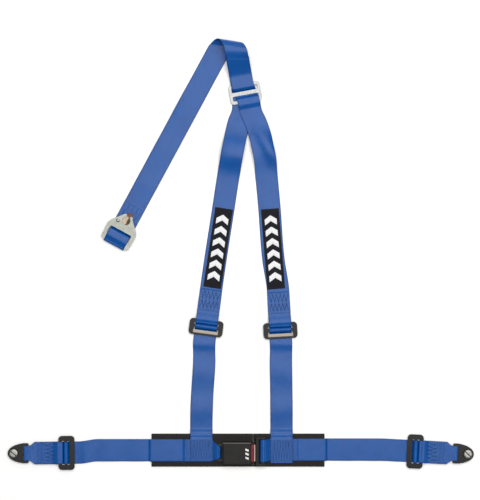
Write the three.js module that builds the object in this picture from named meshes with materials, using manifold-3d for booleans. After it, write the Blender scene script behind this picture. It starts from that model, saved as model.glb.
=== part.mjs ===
// Three-point club racing harness with a push-button buckle, laid out flat on a table.
// Millimetres, +Z up. The lap belt runs along X, the shoulder straps and the rear strap run up +Y.
// The origin is the middle of the bounding box, at the height of the table.
import * as THREE from "three";
import { mergeVertices } from "three/addons/utils/BufferGeometryUtils.js";
import Module from "manifold-3d";

const wasm = await Module();
wasm.setup();

// ---------- driving dimensions ----------

const WEB_WIDTH = 50; // two-inch webbing
const WEB_THICK = 1.3;
const GAP = 0.3; // clearance between pieces that touch
const PAD_THICK = 3.5;

// Black three-bar adjuster: length runs along the strap, width across it.
const ADJUSTER = {
  length: 36,
  width: 76,
  thick: 3,
  slots: [[-7, -1.5], [4, 10.5]], // the broad near bar is at the low end
  slotWidth: 54,
  corner: 8,
};
// Bright slider behind the neck.
const SLIDER = {
  length: 44,
  width: 70,
  thick: 2.5,
  slots: [[-14.5, -4.5], [4.5, 14.5]],
  slotWidth: 58,
  corner: 7,
};

// Where each assembly lies, and the way its straps head (degrees from +X).
const LEFT_LAP_END = { x: -389.8, y: -443.8, heading: 180.4 };
const RIGHT_LAP_END = { x: 389.96, y: -440.6, heading: -2.8 };
const LEFT_SHOULDER = { x: -77.6, y: -163.5, heading: 82.4 };
const RIGHT_SHOULDER = { x: 88.6, y: -170, heading: 93.2 };
const REAR_SLIDER = { x: 9.9, y: 361.4, heading: 100.5 };
const REAR_ANCHOR = { x: -256, y: 74.7, heading: 241.6 };
const LABEL = { length: 180, width: 40, thick: 0.7 };
const LEFT_LABEL = { x: -50.7, y: 14.4, heading: 81.4 };
const RIGHT_LABEL = { x: 72.2, y: 12.5, heading: 94.6 };

const LAP_Y = { left: -438.2, right: -436.8 }; // middle of the lap straps at the pads
const SHOULDER_X = { left: -88.2, right: 91.3 }; // middle of the shoulder straps at the pads
const PAD = { y0: -475, y1: -401, left: [-199.9, 27.4], right: [27.9, 187.6] };

// Buckle, measured from its own middle line.
const BUCKLE_Y = -442.5;
const CASE = { x0: -40.9, x1: 24, half: 24.65, z0: PAD_THICK + GAP, split: 10.9, top: 22.2, wall: 2 };
const FRAME_PLATE = { z0: 7, z1: 9.5 };
const TONGUE_PLATE = { z0: 9.8, z1: 12.3 };
const FRAME_BAR = { inner: -48, outer: -54 }; // the left lap strap loops on it
const TONGUE_BAR = { inner: 46.5, outer: 53.5 }; // the right lap strap loops on it
const TONGUE_SHIFT = 3; // the tongue's wide end sits this far above the blade

// The strap rolls over at the top of the layout, about an axis between its two headings.
const ROLL = { radius: 17, reach: 450.2 };

// ---------- webbing ----------

const LAYER = WEB_THICK + GAP;
const level = (layer) => WEB_THICK / 2 + layer * LAYER; // middle of a strap in a stack on the table
const above = (face) => face + GAP + WEB_THICK / 2; // middle of a strap lying on a face
const below = (face) => face - GAP - WEB_THICK / 2;
const onPad = (layer) => PAD_THICK + GAP + level(layer);

const smooth = (t) => t * t * (3 - 2 * t);
const mix = (a, b, t) => a + (b - a) * t;
const rad = THREE.MathUtils.degToRad;

// A straight lane seen from above: where it starts, the way it heads, and its left side.
function lane({ x, y, heading }) {
  const turn = rad(heading);
  return {
    origin: new THREE.Vector3(x, y, 0),
    ahead: new THREE.Vector3(Math.cos(turn), Math.sin(turn), 0),
    left: new THREE.Vector3(-Math.sin(turn), Math.cos(turn), 0),
  };
}

// The side view of a strap in its lane: distance along the lane, and height of the strap's middle.
class Track {
  constructor(along, height) {
    this.points = [[along, height]];
  }
  get last() {
    return this.points[this.points.length - 1];
  }
  // On at the same height.
  run(along) {
    this.points.push([along, this.last[1]]);
    return this;
  }
  // A soft step up or down.
  ramp(along, height, steps = 6) {
    const [from, low] = this.last;
    for (let i = 1; i <= steps; i++) {
      this.points.push([mix(from, along, i / steps), mix(low, height, smooth(i / steps))]);
    }
    return this;
  }
  // A half turn round a bar, bulging the way given (+1 or -1 along the lane), to a new height.
  wrap(way, height, steps = 8) {
    const [from, low] = this.last;
    const radius = Math.abs(height - low) / 2;
    for (let i = 1; i <= steps; i++) {
      const turn = (Math.PI * i) / steps;
      this.points.push([from + way * radius * Math.sin(turn), mix(low, height, (1 - Math.cos(turn)) / 2)]);
    }
    return this;
  }
  // The same track, a layer further out on its left side (upwards where it heads along the lane).
  beside(distance) {
    const moved = this.points.map(([along, height], i, all) => {
      const [a0, h0] = all[Math.max(i - 1, 0)];
      const [a1, h1] = all[Math.min(i + 1, all.length - 1)];
      const length = Math.hypot(a1 - a0, h1 - h0);
      return [along - (distance * (h1 - h0)) / length, height + (distance * (a1 - a0)) / length];
    });
    const track = new Track(0, 0);
    track.points = moved;
    return track;
  }
  join(next) {
    this.points.push(...next.points);
    return this;
  }
  slice(from, to) {
    const track = new Track(0, 0);
    track.points = this.points.filter(([along]) => along >= from && along <= to);
    return track;
  }
}

// Stations of a strap: the middle of each cross-section and the vector from there to its left edge.
// A skewed section runs slantwise over the strap; a shifted one lies to the left of the lane's middle.
function stations(where, track, { half = () => WEB_WIDTH / 2, shift = () => 0, skew = () => 0 } = {}) {
  return track.points.map(([along, height]) => {
    const across = where.left.clone().addScaledVector(where.ahead, skew(along));
    const mid = where.origin.clone().addScaledVector(where.ahead, along);
    mid.addScaledVector(across, shift(along));
    return { mid: mid.setZ(height), edge: across.multiplyScalar(half(along)) };
  });
}

// One cross-section on a free stretch, where the strap drifts from one lane to the next.
function waypoint(x, y, heading, height = level(0)) {
  return stations(lane({ x, y, heading }), new Track(0, height))[0];
}

const flipped = (list) => list.map(({ mid, edge }) => ({ mid, edge: edge.clone().negate() }));

// A closed strip of webbing through its stations.
function webbing(list, thick = WEB_THICK) {
  const positions = [];
  list.forEach(({ mid, edge }, i) => {
    const before = list[Math.max(i - 1, 0)].mid;
    const after = list[Math.min(i + 1, list.length - 1)].mid;
    const inward = (i ? mid.clone().sub(before) : after.clone().sub(mid)).normalize();
    const outward = (i < list.length - 1 ? after.clone().sub(mid) : mid.clone().sub(before)).normalize();
    const faceIn = edge.clone().cross(inward).normalize();
    const faceOut = edge.clone().cross(outward).normalize();
    const face = faceIn.clone().add(faceOut).normalize();
    const offset = face.multiplyScalar(thick / 2 / Math.max(face.dot(faceIn), 0.6));
    for (const [side, up] of [[-1, -1], [1, -1], [1, 1], [-1, 1]]) {
      const corner = mid.clone().addScaledVector(edge, side).addScaledVector(offset, up);
      positions.push(corner.x, corner.y, corner.z);
    }
  });
  const triangles = [0, 1, 2, 0, 2, 3];
  for (let i = 0; i < list.length - 1; i++) {
    for (let k = 0; k < 4; k++) {
      const a = 4 * i + k;
      const b = 4 * i + ((k + 1) % 4);
      triangles.push(a, a + 4, b + 4, a, b + 4, b);
    }
  }
  const end = 4 * (list.length - 1);
  triangles.push(end, end + 2, end + 1, end, end + 3, end + 2);
  const geometry = new THREE.BufferGeometry();
  geometry.setAttribute("position", new THREE.Float32BufferAttribute(positions, 3));
  geometry.setIndex(triangles);
  return facingOut(geometry);
}

// ---------- solids ----------

function signedVolume(geometry) {
  const p = geometry.getAttribute("position");
  const index = geometry.index.array;
  const [a, b, c] = [new THREE.Vector3(), new THREE.Vector3(), new THREE.Vector3()];
  let volume = 0;
  for (let i = 0; i < index.length; i += 3) {
    a.fromBufferAttribute(p, index[i]);
    b.fromBufferAttribute(p, index[i + 1]);
    c.fromBufferAttribute(p, index[i + 2]);
    volume += a.dot(b.cross(c)) / 6;
  }
  return volume;
}

function facingOut(geometry) {
  if (signedVolume(geometry) < 0) {
    geometry.setIndex(Array.from(geometry.index.array).reverse());
  }
  return geometry;
}

function box(x0, x1, y0, y1, z0, z1) {
  const geometry = new THREE.BoxGeometry(x1 - x0, y1 - y0, z1 - z0);
  return geometry.translate((x0 + x1) / 2, (y0 + y1) / 2, (z0 + z1) / 2);
}

// An upright or lying cylinder, its axis through (x, y, z).
function cylinder(radius, length, axis, x, y, z, sides = 24) {
  const geometry = new THREE.CylinderGeometry(radius, radius, length, sides);
  if (axis === "z") geometry.rotateX(Math.PI / 2);
  if (axis === "x") geometry.rotateZ(Math.PI / 2);
  return geometry.translate(x, y, z);
}

// A rectangle with round corners, centred on (x, y).
function roundedOutline(target, x, y, length, width, corner) {
  const [a, b] = [length / 2, width / 2];
  target.moveTo(x - a + corner, y - b);
  target.lineTo(x + a - corner, y - b);
  target.absarc(x + a - corner, y - b + corner, corner, -Math.PI / 2, 0, false);
  target.lineTo(x + a, y + b - corner);
  target.absarc(x + a - corner, y + b - corner, corner, 0, Math.PI / 2, false);
  target.lineTo(x - a + corner, y + b);
  target.absarc(x - a + corner, y + b - corner, corner, Math.PI / 2, Math.PI, false);
  target.lineTo(x - a, y - b + corner);
  target.absarc(x - a + corner, y - b + corner, corner, Math.PI, 1.5 * Math.PI, false);
  return target;
}

const rounded = (...size) => roundedOutline(new THREE.Shape(), ...size);
const roundedHole = (...size) => roundedOutline(new THREE.Path(), ...size);

function roundHole(x, y, radius) {
  return new THREE.Path().absarc(x, y, radius, 0, 2 * Math.PI, false);
}

// A plate cut from sheet, from height z0 to z1, with its rims eased by the bevel.
function plate(shape, z0, z1, bevel = 0, curveSegments = 5) {
  const geometry = new THREE.ExtrudeGeometry(shape, {
    depth: z1 - z0 - 2 * bevel,
    bevelEnabled: bevel > 0,
    bevelThickness: bevel,
    bevelSize: bevel,
    bevelOffset: -bevel,
    bevelSegments: 1,
    curveSegments,
  });
  return geometry.translate(0, 0, z0 + bevel);
}

function solid(geometry) {
  const bare = geometry.clone();
  bare.deleteAttribute("normal");
  bare.deleteAttribute("uv");
  const merged = mergeVertices(bare, 1e-4);
  return new wasm.Manifold(
    new wasm.Mesh({
      numProp: 3,
      vertProperties: merged.getAttribute("position").array,
      triVerts: new Uint32Array(merged.index.array),
    }),
  );
}

function geometryOf(manifold) {
  const mesh = manifold.getMesh();
  const geometry = new THREE.BufferGeometry();
  geometry.setAttribute("position", new THREE.BufferAttribute(mesh.vertProperties, mesh.numProp));
  geometry.setIndex(new THREE.BufferAttribute(mesh.triVerts, 1));
  return geometry;
}

function join(...pieces) {
  return geometryOf(pieces.map(solid).reduce((sum, piece) => sum.add(piece)));
}

function cut(body, ...tools) {
  return geometryOf(tools.map(solid).reduce((rest, tool) => rest.subtract(tool), solid(body)));
}

// A closed coil of round wire about the X axis, from x0 to x1.
class Helix extends THREE.Curve {
  constructor(x0, x1, radius, turns) {
    super();
    Object.assign(this, { x0, x1, radius, turns });
  }
  getPoint(t, target = new THREE.Vector3()) {
    const turn = 2 * Math.PI * this.turns * t;
    return target.set(mix(this.x0, this.x1, t), this.radius * Math.cos(turn), this.radius * Math.sin(turn));
  }
}

function coil(length, radius, wire, turns) {
  const path = new Helix(wire, length - wire, radius - wire, turns);
  const section = new THREE.Shape().absarc(0, 0, wire, 0, 2 * Math.PI, false);
  return new THREE.ExtrudeGeometry(section, {
    extrudePath: path,
    steps: turns * 7,
    curveSegments: 2,
    bevelEnabled: false,
  });
}

// ---------- finishes ----------

const finish = (color, roughness, metalness) =>
  new THREE.MeshStandardMaterial({ color, roughness, metalness });

const BLUE_WEB = finish(0x24508f, 0.75, 0);
const PAD_FELT = finish(0x2b2a2a, 0.9, 0);
const BLACK_STEEL = finish(0x1b1b1c, 0.35, 0.4);
const BLACK_PLASTIC = finish(0x2a2a2b, 0.45, 0);
const RED_PLASTIC = finish(0x9c2433, 0.4, 0);
const LABEL_WEAVE = finish(0x17191e, 0.85, 0);
const ZINC = finish(0xb9bbbd, 0.35, 0.9);
const BRIGHT_STEEL = finish(0xc9ccd0, 0.22, 1);
const SPRING_STEEL = finish(0x8d9094, 0.3, 1);
const COPPERY_STEEL = finish(0xb08a78, 0.35, 0.9);
const FIBRE = finish(0x6b4a34, 0.8, 0);

const harness = new THREE.Group();

function add(name, geometry, material, parent = harness) {
  const mesh = new THREE.Mesh(geometry, material);
  mesh.name = name;
  parent.add(mesh);
}

// A group whose +X runs along a lane.
function groupAt({ x, y, heading = 0 }) {
  const group = new THREE.Group();
  group.position.set(x, y, 0);
  group.rotation.z = rad(heading);
  harness.add(group);
  return group;
}

// ---------- three-bar adjusters ----------

// The adjuster stands on two layers of webbing: the loose tail and the sewn loop's lower layer.
const ADJUSTER_Z0 = 2 * LAYER;
const ADJUSTER_TOP = ADJUSTER_Z0 + ADJUSTER.thick;
const CENTRE_BAR = [ADJUSTER.slots[0][1], ADJUSTER.slots[1][0]]; // its two edges
const FAR_BAR = ADJUSTER.slots[1][1]; // its inner edge
const LOOP_RUN = 9; // a sewn loop lies flat on the far bar and a little past it

function threeBar({ length, width, thick, slots, slotWidth, corner }, z0) {
  const shape = rounded(0, 0, length, width, corner);
  for (const [from, to] of slots) {
    shape.holes.push(roundedHole((from + to) / 2, 0, to - from, slotWidth, 2));
  }
  return plate(shape, z0, z0 + thick, 0, 3);
}

// The running strap: tail under the sewn strap, up over the centre bar and down under the near bar.
function runningTrack(tailEnd, nearEnd) {
  return new Track(tailEnd, level(0))
    .run(CENTRE_BAR[1] + 4.5)
    .ramp(CENTRE_BAR[1] - 0.1, above(ADJUSTER_TOP))
    .run(CENTRE_BAR[0] + 0.1)
    .ramp(ADJUSTER.slots[0][0] + 0.7, level(0))
    .run(nearEnd);
}

// The sewn strap's end, from its cut end under the stitching round the far bar to its top layer.
function sewnLoop(cutEnd, height = level(1)) {
  return new Track(cutEnd, height)
    .run(FAR_BAR)
    .wrap(-1, above(ADJUSTER_TOP))
    .run(FAR_BAR + LOOP_RUN);
}

// ---------- lap belt ends: adjuster, end loop, bracket and bolt ----------

const BRACKET = {
  z0: ADJUSTER_Z0,
  z1: ADJUSTER_Z0 + 3,
  bar: [84.7, 92.2],
  slot: 4.4,
  half: 22.3,
  bolt: 118.2,
  tip: 131.6,
};
const LOOP_NECK = 16.6; // half width of the end loop where it passes the bracket's narrow slot
const BOLT = { shank: 5.5, hole: 5.9, head: 10.5, headHeight: 4.6, slot: 2.4 };

function lapBracket() {
  const { bar, bolt, tip, half, z0, z1 } = BRACKET;
  const shape = new THREE.Shape();
  const [back, shoulder, flank] = [bar[0], bolt - 21, bolt - 10.7];
  shape.moveTo(back + 3, -half);
  shape.lineTo(shoulder, -half);
  shape.lineTo(flank, 2 - half);
  shape.bezierCurveTo(bolt + 0.8, 4.8 - half, tip, -11, tip, 0);
  shape.bezierCurveTo(tip, 11, bolt + 0.8, half - 4.8, flank, half - 2);
  shape.lineTo(shoulder, half);
  shape.lineTo(back + 3, half);
  shape.absarc(back + 3, half - 3, 3, Math.PI / 2, Math.PI, false);
  shape.absarc(back + 3, 3 - half, 3, Math.PI, 1.5 * Math.PI, false);
  const slotMiddle = bar[1] + BRACKET.slot / 2;
  shape.holes.push(roundedHole(slotMiddle, 0, BRACKET.slot, 2 * LOOP_NECK + 1.6, 2));
  shape.holes.push(roundHole(bolt, 0, BOLT.hole));
  return plate(shape, z0, z1);
}

function lapBolt() {
  const seat = BRACKET.z1 + GAP;
  const crown = seat + BOLT.headHeight;
  const profile = [
    [0, 0],
    [BOLT.shank - 0.8, 0],
    [BOLT.shank, 0.8],
    [BOLT.shank, seat],
    [BOLT.head - 0.4, seat],
    [BOLT.head, seat + 0.5],
    [BOLT.head, crown - 1.6],
    [BOLT.head - 1.8, crown - 0.3],
    [BOLT.head - 4, crown],
    [0, crown],
  ].map(([r, z]) => new THREE.Vector2(r, z));
  const turned = new THREE.LatheGeometry(profile, 28).rotateX(Math.PI / 2);
  const half = BOLT.slot / 2;
  const driver = box(-BOLT.head - 1, BOLT.head + 1, -half, half, crown - 1.8, crown + 1);
  return cut(facingOut(mergedForCut(turned)), driver).rotateZ(rad(-40)).translate(BRACKET.bolt, 0, 0);
}

// A lathe's own index is kept, but its seam vertices are merged so that it closes.
function mergedForCut(geometry) {
  geometry.deleteAttribute("normal");
  geometry.deleteAttribute("uv");
  return mergeVertices(geometry, 1e-4);
}

function lapWasher() {
  const shape = new THREE.Shape().absarc(BRACKET.bolt, 0, 10, 0, 2 * Math.PI, false);
  shape.holes.push(roundHole(BRACKET.bolt, 0, BOLT.shank + 0.25));
  return plate(shape, BRACKET.z0 - GAP - 1.2, BRACKET.z0 - GAP, 0, 10);
}

// The end loop: its two cut ends lie over each other between the adjuster and the bracket.
function lapEndLoop(where) {
  const [bar, barEnd] = BRACKET.bar;
  const top = above(ADJUSTER_TOP);
  const track = sewnLoop(60)
    .ramp(30, level(3))
    .run(66)
    .ramp(bar - 1, top)
    .run(barEnd)
    .wrap(1, level(1))
    .run(bar - 4)
    .ramp(66, level(2))
    .run(30);
  // The corners are folded in towards the bracket's narrower slot.
  const neck = [71, bar - 3];
  const half = (along) => {
    const t = THREE.MathUtils.clamp((along - neck[0]) / (neck[1] - neck[0]), 0, 1);
    return mix(WEB_WIDTH / 2, LOOP_NECK, t);
  };
  return webbing(stations(where, track, { half }));
}

for (const [side, end] of [["left", LEFT_LAP_END], ["right", RIGHT_LAP_END]]) {
  const group = groupAt(end);
  add(`${side}_lap_adjuster`, threeBar(ADJUSTER, ADJUSTER_Z0), BLACK_STEEL, group);
  add(`${side}_lap_bracket`, lapBracket(), BLACK_STEEL, group);
  add(`${side}_lap_bolt`, lapBolt(), BRIGHT_STEEL, group);
  add(`${side}_lap_washer`, lapWasher(), FIBRE, group);
  add(`${side}_lap_end_loop`, lapEndLoop(lane(end)), BLUE_WEB);
}

// ---------- lap straps ----------

const LAP_TAIL = 36; // short enough to stay clear of the bracket when the belt is taken in
const FREE_STRETCH = -26; // where a running strap leaves the adjuster's own lane

// From the adjuster over the pad to the bar at the buckle, round it, and back under itself to its cut end.
function lapStrap(end, { origin, heading, bar, barFace, barBack, padEdge, shoulder, cutEnd, half, shift }) {
  const pad = lane({ x: 0, y: origin, heading });
  const track = new Track(padEdge + 120, level(0))
    .run(padEdge + 7)
    .ramp(padEdge + 0.8, onPad(0))
    .run(cutEnd + 7)
    .ramp(cutEnd - 1, onPad(1))
    .run(shoulder)
    .ramp(bar.outer + 0.5, above(barFace))
    .run(bar.inner)
    .wrap(-1, below(barBack))
    .run(bar.outer + 0.5)
    .ramp(shoulder + 1.5, onPad(0))
    .run(cutEnd);
  return webbing([
    ...stations(lane(end), runningTrack(LAP_TAIL, FREE_STRETCH)),
    ...stations(pad, track, { half, shift }),
  ]);
}

const LEFT_NECK = 13; // half width of the left lap strap in the buckle frame's slot
const taper = (along) => THREE.MathUtils.clamp((65 - along) / 17, 0, 1);

add(
  "left_lap_strap",
  lapStrap(LEFT_LAP_END, {
    origin: LAP_Y.left,
    heading: 180,
    bar: { inner: -FRAME_BAR.inner, outer: -FRAME_BAR.outer },
    barFace: FRAME_PLATE.z1,
    barBack: FRAME_PLATE.z0,
    padEdge: -PAD.left[0],
    shoulder: 62.7,
    cutEnd: 124,
    half: (along) => mix(WEB_WIDTH / 2, LEFT_NECK, taper(along)),
    shift: (along) => mix(0, LAP_Y.left - BUCKLE_Y - 0.5, taper(along)),
  }),
  BLUE_WEB,
);

add(
  "right_lap_strap",
  lapStrap(RIGHT_LAP_END, {
    origin: LAP_Y.right,
    heading: 0,
    bar: TONGUE_BAR,
    barFace: TONGUE_PLATE.z1,
    barBack: TONGUE_PLATE.z0,
    padEdge: PAD.right[1],
    shoulder: 66.5,
    cutEnd: 124,
    half: () => WEB_WIDTH / 2,
    shift: (along) => mix(0, -2, taper(along)),
  }),
  BLUE_WEB,
);

// ---------- buckle pads ----------

function pad([x0, x1], openEnd) {
  const corner = 1.5;
  const { y0, y1 } = PAD;
  const shape = new THREE.Shape();
  if (openEnd > 0) {
    shape.moveTo(x1, y0);
    shape.lineTo(x1, y1);
    shape.lineTo(x0 + corner, y1);
    shape.absarc(x0 + corner, y1 - corner, corner, Math.PI / 2, Math.PI, false);
    shape.absarc(x0 + corner, y0 + corner, corner, Math.PI, 1.5 * Math.PI, false);
  } else {
    shape.moveTo(x0, y1);
    shape.lineTo(x0, y0);
    shape.lineTo(x1 - corner, y0);
    shape.absarc(x1 - corner, y0 + corner, corner, -Math.PI / 2, 0, false);
    shape.absarc(x1 - corner, y1 - corner, corner, 0, Math.PI / 2, false);
  }
  return plate(shape, 0, PAD_THICK, 0.5, 4);
}

add("buckle_pad_left", pad(PAD.left, 1), PAD_FELT);
add("buckle_pad_right", pad(PAD.right, -1), PAD_FELT);

// ---------- shoulder straps, lower half ----------

const SHOULDER_TAIL = 58;

function lowerShoulderStrap(end, x, foot, waypoints) {
  const { y1 } = PAD;
  const lapEdge = LAP_Y.right + WEB_WIDTH / 2;
  const track = new Track(y1 + 20, level(0))
    .run(y1 + 12)
    .ramp(y1 + 1.5, onPad(0))
    .run(y1 - 1.5)
    .ramp(lapEdge + 1, onPad(2))
    .run(foot);
  return webbing([
    ...stations(lane(end), runningTrack(SHOULDER_TAIL, FREE_STRETCH)),
    ...waypoints.map((way) => waypoint(...way)),
    ...stations(lane({ x, y: 0, heading: 90 }), track),
  ]);
}

add(
  "left_lower_shoulder_strap",
  lowerShoulderStrap(LEFT_SHOULDER, SHOULDER_X.left, -461, [
    [-81.7, -240, 85],
    [-86.6, -320, 88],
  ]),
  BLUE_WEB,
);
add(
  "right_lower_shoulder_strap",
  lowerShoulderStrap(RIGHT_SHOULDER, SHOULDER_X.right, -466, [
    [89.9, -240, 90.5],
    [91, -320, 90],
  ]),
  BLUE_WEB,
);

for (const [side, end] of [["left", LEFT_SHOULDER], ["right", RIGHT_SHOULDER]]) {
  add(`${side}_shoulder_adjuster`, threeBar(ADJUSTER, ADJUSTER_Z0), BLACK_STEEL, groupAt(end));
}

// ---------- rear slider, and the two straps that run through it ----------

const SLIDER_Z0 = 2 * LAYER;
const SLIDER_TOP = SLIDER_Z0 + SLIDER.thick;
const sliderLane = lane(REAR_SLIDER);
const SLIDER_BAR = SLIDER.slots[1][0]; // half width of its centre bar

// How far each strap lies to the left of the slider's middle; the right one closes in as it goes through.
const leftStrapShift = () => 3.5;
const rightStrapShift = (along) => mix(-4.5, 2.6, THREE.MathUtils.clamp((along + 20) / 40, 0, 1));

add("rear_slider", threeBar(SLIDER, SLIDER_Z0), BRIGHT_STEEL, groupAt(REAR_SLIDER));

// The roll's axis lies across the bisector of the two headings, and the strap crosses it askew.
const rollAxis = lane({ x: 0, y: 0, heading: (REAR_SLIDER.heading + REAR_ANCHOR.heading) / 2 });
const rollOut = rollAxis.left.clone().negate(); // points away from the straps
const rollSlant = Math.tan(rad((REAR_ANCHOR.heading - REAR_SLIDER.heading) / 2 - 90)) * -1;
const anchorLane = lane(REAR_ANCHOR);

// Distance along a lane at which it reaches the roll.
const reachOf = ({ origin, ahead }) => (ROLL.reach - origin.dot(rollOut)) / ahead.dot(rollOut);
const rollIn = reachOf(sliderLane);
const rollBack = reachOf(anchorLane);
const rollTop = level(0) + 2 * ROLL.radius;

// The half turn from where the strap comes up the slider's lane to where it leaves down the anchor's.
function rollStations(start, end, steps = 10) {
  const half = WEB_WIDTH / 2 / sliderLane.left.dot(rollAxis.ahead);
  const list = [];
  for (let i = 1; i < steps; i++) {
    const turn = (Math.PI * i) / steps;
    const mid = start.clone().lerp(end, i / steps).addScaledVector(rollOut, ROLL.radius * Math.sin(turn));
    mid.setZ(mix(rollTop, level(0), (1 - Math.cos(turn)) / 2));
    list.push({ mid, edge: rollAxis.ahead.clone().multiplyScalar(half) });
  }
  return list;
}

// The left strap goes under the lower and centre bars, over the upper bar and up to the roll.
const leftSliderTrack = new Track(-26, level(0))
  .run(SLIDER_BAR + 1.5)
  .ramp(SLIDER_BAR + 8.8, above(SLIDER_TOP))
  .run(SLIDER.length / 2 + 2)
  .ramp(rollIn, rollTop, 10);

// The right strap goes over the lower bar and under the centre bar, then lies on the left one to its end.
const rightSliderTrack = new Track(-38, level(1))
  .ramp(-SLIDER.length / 2 - 1, above(SLIDER_TOP))
  .run(-SLIDER_BAR - 8.8)
  .ramp(-SLIDER_BAR - 1.5, level(1))
  .join(leftSliderTrack.beside(LAYER).slice(0, rollIn - 16));

const ANCHOR = { z0: 4.7, z1: 7.7, bar: [42, 57], slotEnd: 24, slotWidth: 54 };
const rearTrack = new Track(rollBack, level(0))
  .run(rollBack + 14)
  .run(rollBack + 28)
  .run(rollBack + 42)
  .run(-60)
  .run(ANCHOR.bar[1])
  .wrap(1, above(ANCHOR.z1))
  .run(ANCHOR.bar[0] + 1)
  .ramp(ANCHOR.slotEnd + 2.5, level(1))
  .run(-42);

// The sewn loop steps down twice: past the running strap's tail, and past its own cut end.
function upperStrapFoot(end) {
  const track = new Track(82, level(0))
    .run(68)
    .ramp(60, level(1))
    .run(FAR_BAR)
    .wrap(-1, above(ADJUSTER_TOP))
    .run(FAR_BAR + LOOP_RUN)
    .ramp(36, level(2))
    .run(60)
    .ramp(68, level(1))
    .run(83)
    .ramp(88, level(0));
  return stations(lane(end), track);
}

// Near the roll the cross-sections turn in line with its axis.
const slantAt = (along, from) => rollSlant * THREE.MathUtils.clamp(1 - Math.abs(along - from) / 42, 0, 1);
const intoRoll = (shift) => ({ shift, skew: (along) => slantAt(along, rollIn) });
const upToRoll = stations(sliderLane, leftSliderTrack, intoRoll(leftStrapShift));
const downFromRoll = stations(anchorLane, rearTrack, { skew: (along) => -slantAt(along, rollBack) });

add(
  "left_and_rear_strap",
  webbing([
    ...upperStrapFoot(LEFT_SHOULDER),
    waypoint(-56.8, -12.3, 81.4),
    waypoint(-42.2, 81.8, 81.2),
    waypoint(-27.7, 175.8, 80.6),
    waypoint(-13.1, 256.5, 78.8),
    waypoint(-4.1, 296, 78),
    waypoint(5.5, 326, 84),
    ...upToRoll,
    ...rollStations(upToRoll.at(-1).mid, downFromRoll[0].mid),
    ...flipped(downFromRoll),
  ]),
  BLUE_WEB,
);

add(
  "right_upper_shoulder_strap",
  webbing([
    ...upperStrapFoot(RIGHT_SHOULDER),
    waypoint(73.4, -12.3, 94.7),
    waypoint(63.9, 108.6, 94.8),
    waypoint(57.7, 175.8, 95.5),
    waypoint(54, 216.2, 98),
    waypoint(48.4, 243, 101),
    waypoint(44.4, 262, 102, level(1)),
    waypoint(33, 296.8, 103, level(1)),
    ...stations(sliderLane, rightSliderTrack, intoRoll(rightStrapShift)),
  ]),
  BLUE_WEB,
);

// ---------- labels sewn on the shoulder straps ----------

for (const [side, place] of [["left", LEFT_LABEL], ["right", RIGHT_LABEL]]) {
  const z0 = WEB_THICK + GAP;
  const patch = plate(rounded(0, 0, LABEL.length, LABEL.width, 1), z0, z0 + LABEL.thick, 0, 2);
  add(`${side}_label`, patch, LABEL_WEAVE, groupAt(place));
}

// ---------- rear anchor ----------

const anchorGroup = groupAt(REAR_ANCHOR);
const HOOK = { hole: 9.5, throat: 4.5, tip: -14 };
const RIVET = { x: 7, y: -17, shank: 2.2, hole: 2.5 };

// The plate's tip points back along the strap. Its slot takes the strap; its hole hooks on the car.
function anchorPlate() {
  const { bar, slotEnd, slotWidth, z0, z1 } = ANCHOR;
  const shape = new THREE.Shape();
  shape.moveTo(bar[1], -31);
  shape.absarc(bar[1] - 4, 30, 4, 0, Math.PI / 2, false);
  shape.lineTo(21, 35);
  shape.lineTo(12, 31);
  shape.lineTo(-10, 10);
  shape.absarc(-6, 6, 8, 0.75 * Math.PI, Math.PI, false);
  shape.absarc(-6, -6, 8, Math.PI, 1.25 * Math.PI, false);
  shape.lineTo(12, -31);
  shape.lineTo(21, -35);
  shape.lineTo(bar[1] - 4, -34);
  shape.absarc(bar[1] - 4, -30, 4, -Math.PI / 2, 0, false);
  shape.holes.push(roundedHole((bar[0] + slotEnd) / 2, 0, bar[0] - slotEnd, slotWidth, 4));
  shape.holes.push(roundHole(0, 0, HOOK.hole));
  shape.holes.push(roundHole(RIVET.x, RIVET.y, RIVET.hole));
  const throat = box(HOOK.tip - 5, 0, -HOOK.throat, HOOK.throat, z0 - 1, z1 + 1);
  return cut(plate(shape, z0, z1), throat);
}

// The gate lies under the plate and closes the throat.
function anchorGate() {
  const shape = new THREE.Shape();
  shape.moveTo(RIVET.x + 4, RIVET.y - 1);
  shape.lineTo(10, -2);
  shape.absarc(0, 0, 11, 0, Math.PI / 2, false);
  shape.lineTo(-10, 8);
  shape.lineTo(-20, 7);
  shape.lineTo(-20, -3);
  shape.lineTo(-10, -9);
  shape.lineTo(RIVET.x - 3, RIVET.y - 3);
  shape.absarc(RIVET.x, RIVET.y, 5, -Math.PI * 0.75, 0, false);
  shape.holes.push(roundHole(RIVET.x, RIVET.y, RIVET.hole));
  return plate(shape, ANCHOR.z0 - 1.4, ANCHOR.z0 - GAP, 0, 6);
}

function gateRivet() {
  const top = ANCHOR.z1 + GAP;
  const profile = [
    [0, ANCHOR.z0 - 1.4],
    [RIVET.shank, ANCHOR.z0 - 1.4],
    [RIVET.shank, top],
    [4.4, top],
    [4.2, top + 0.7],
    [2.5, top + 1.2],
    [0, top + 1.3],
  ].map(([r, z]) => new THREE.Vector2(r, z));
  const turned = new THREE.LatheGeometry(profile, 20).rotateX(Math.PI / 2);
  return facingOut(mergedForCut(turned)).translate(RIVET.x, RIVET.y, 0);
}

add("anchor_plate", anchorPlate(), ZINC, anchorGroup);
add("anchor_gate", anchorGate(), COPPERY_STEEL, anchorGroup);
add("gate_rivet", gateRivet(), SPRING_STEEL, anchorGroup);

// ---------- buckle ----------

const buckle = groupAt({ x: 0, y: BUCKLE_Y });
const MOUTH = { half: 19.7, z0: 9.5, z1: 20.2 };
const PIN = { x: -24, z: 16.6, radius: 1.4, half: 20.8 };

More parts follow.
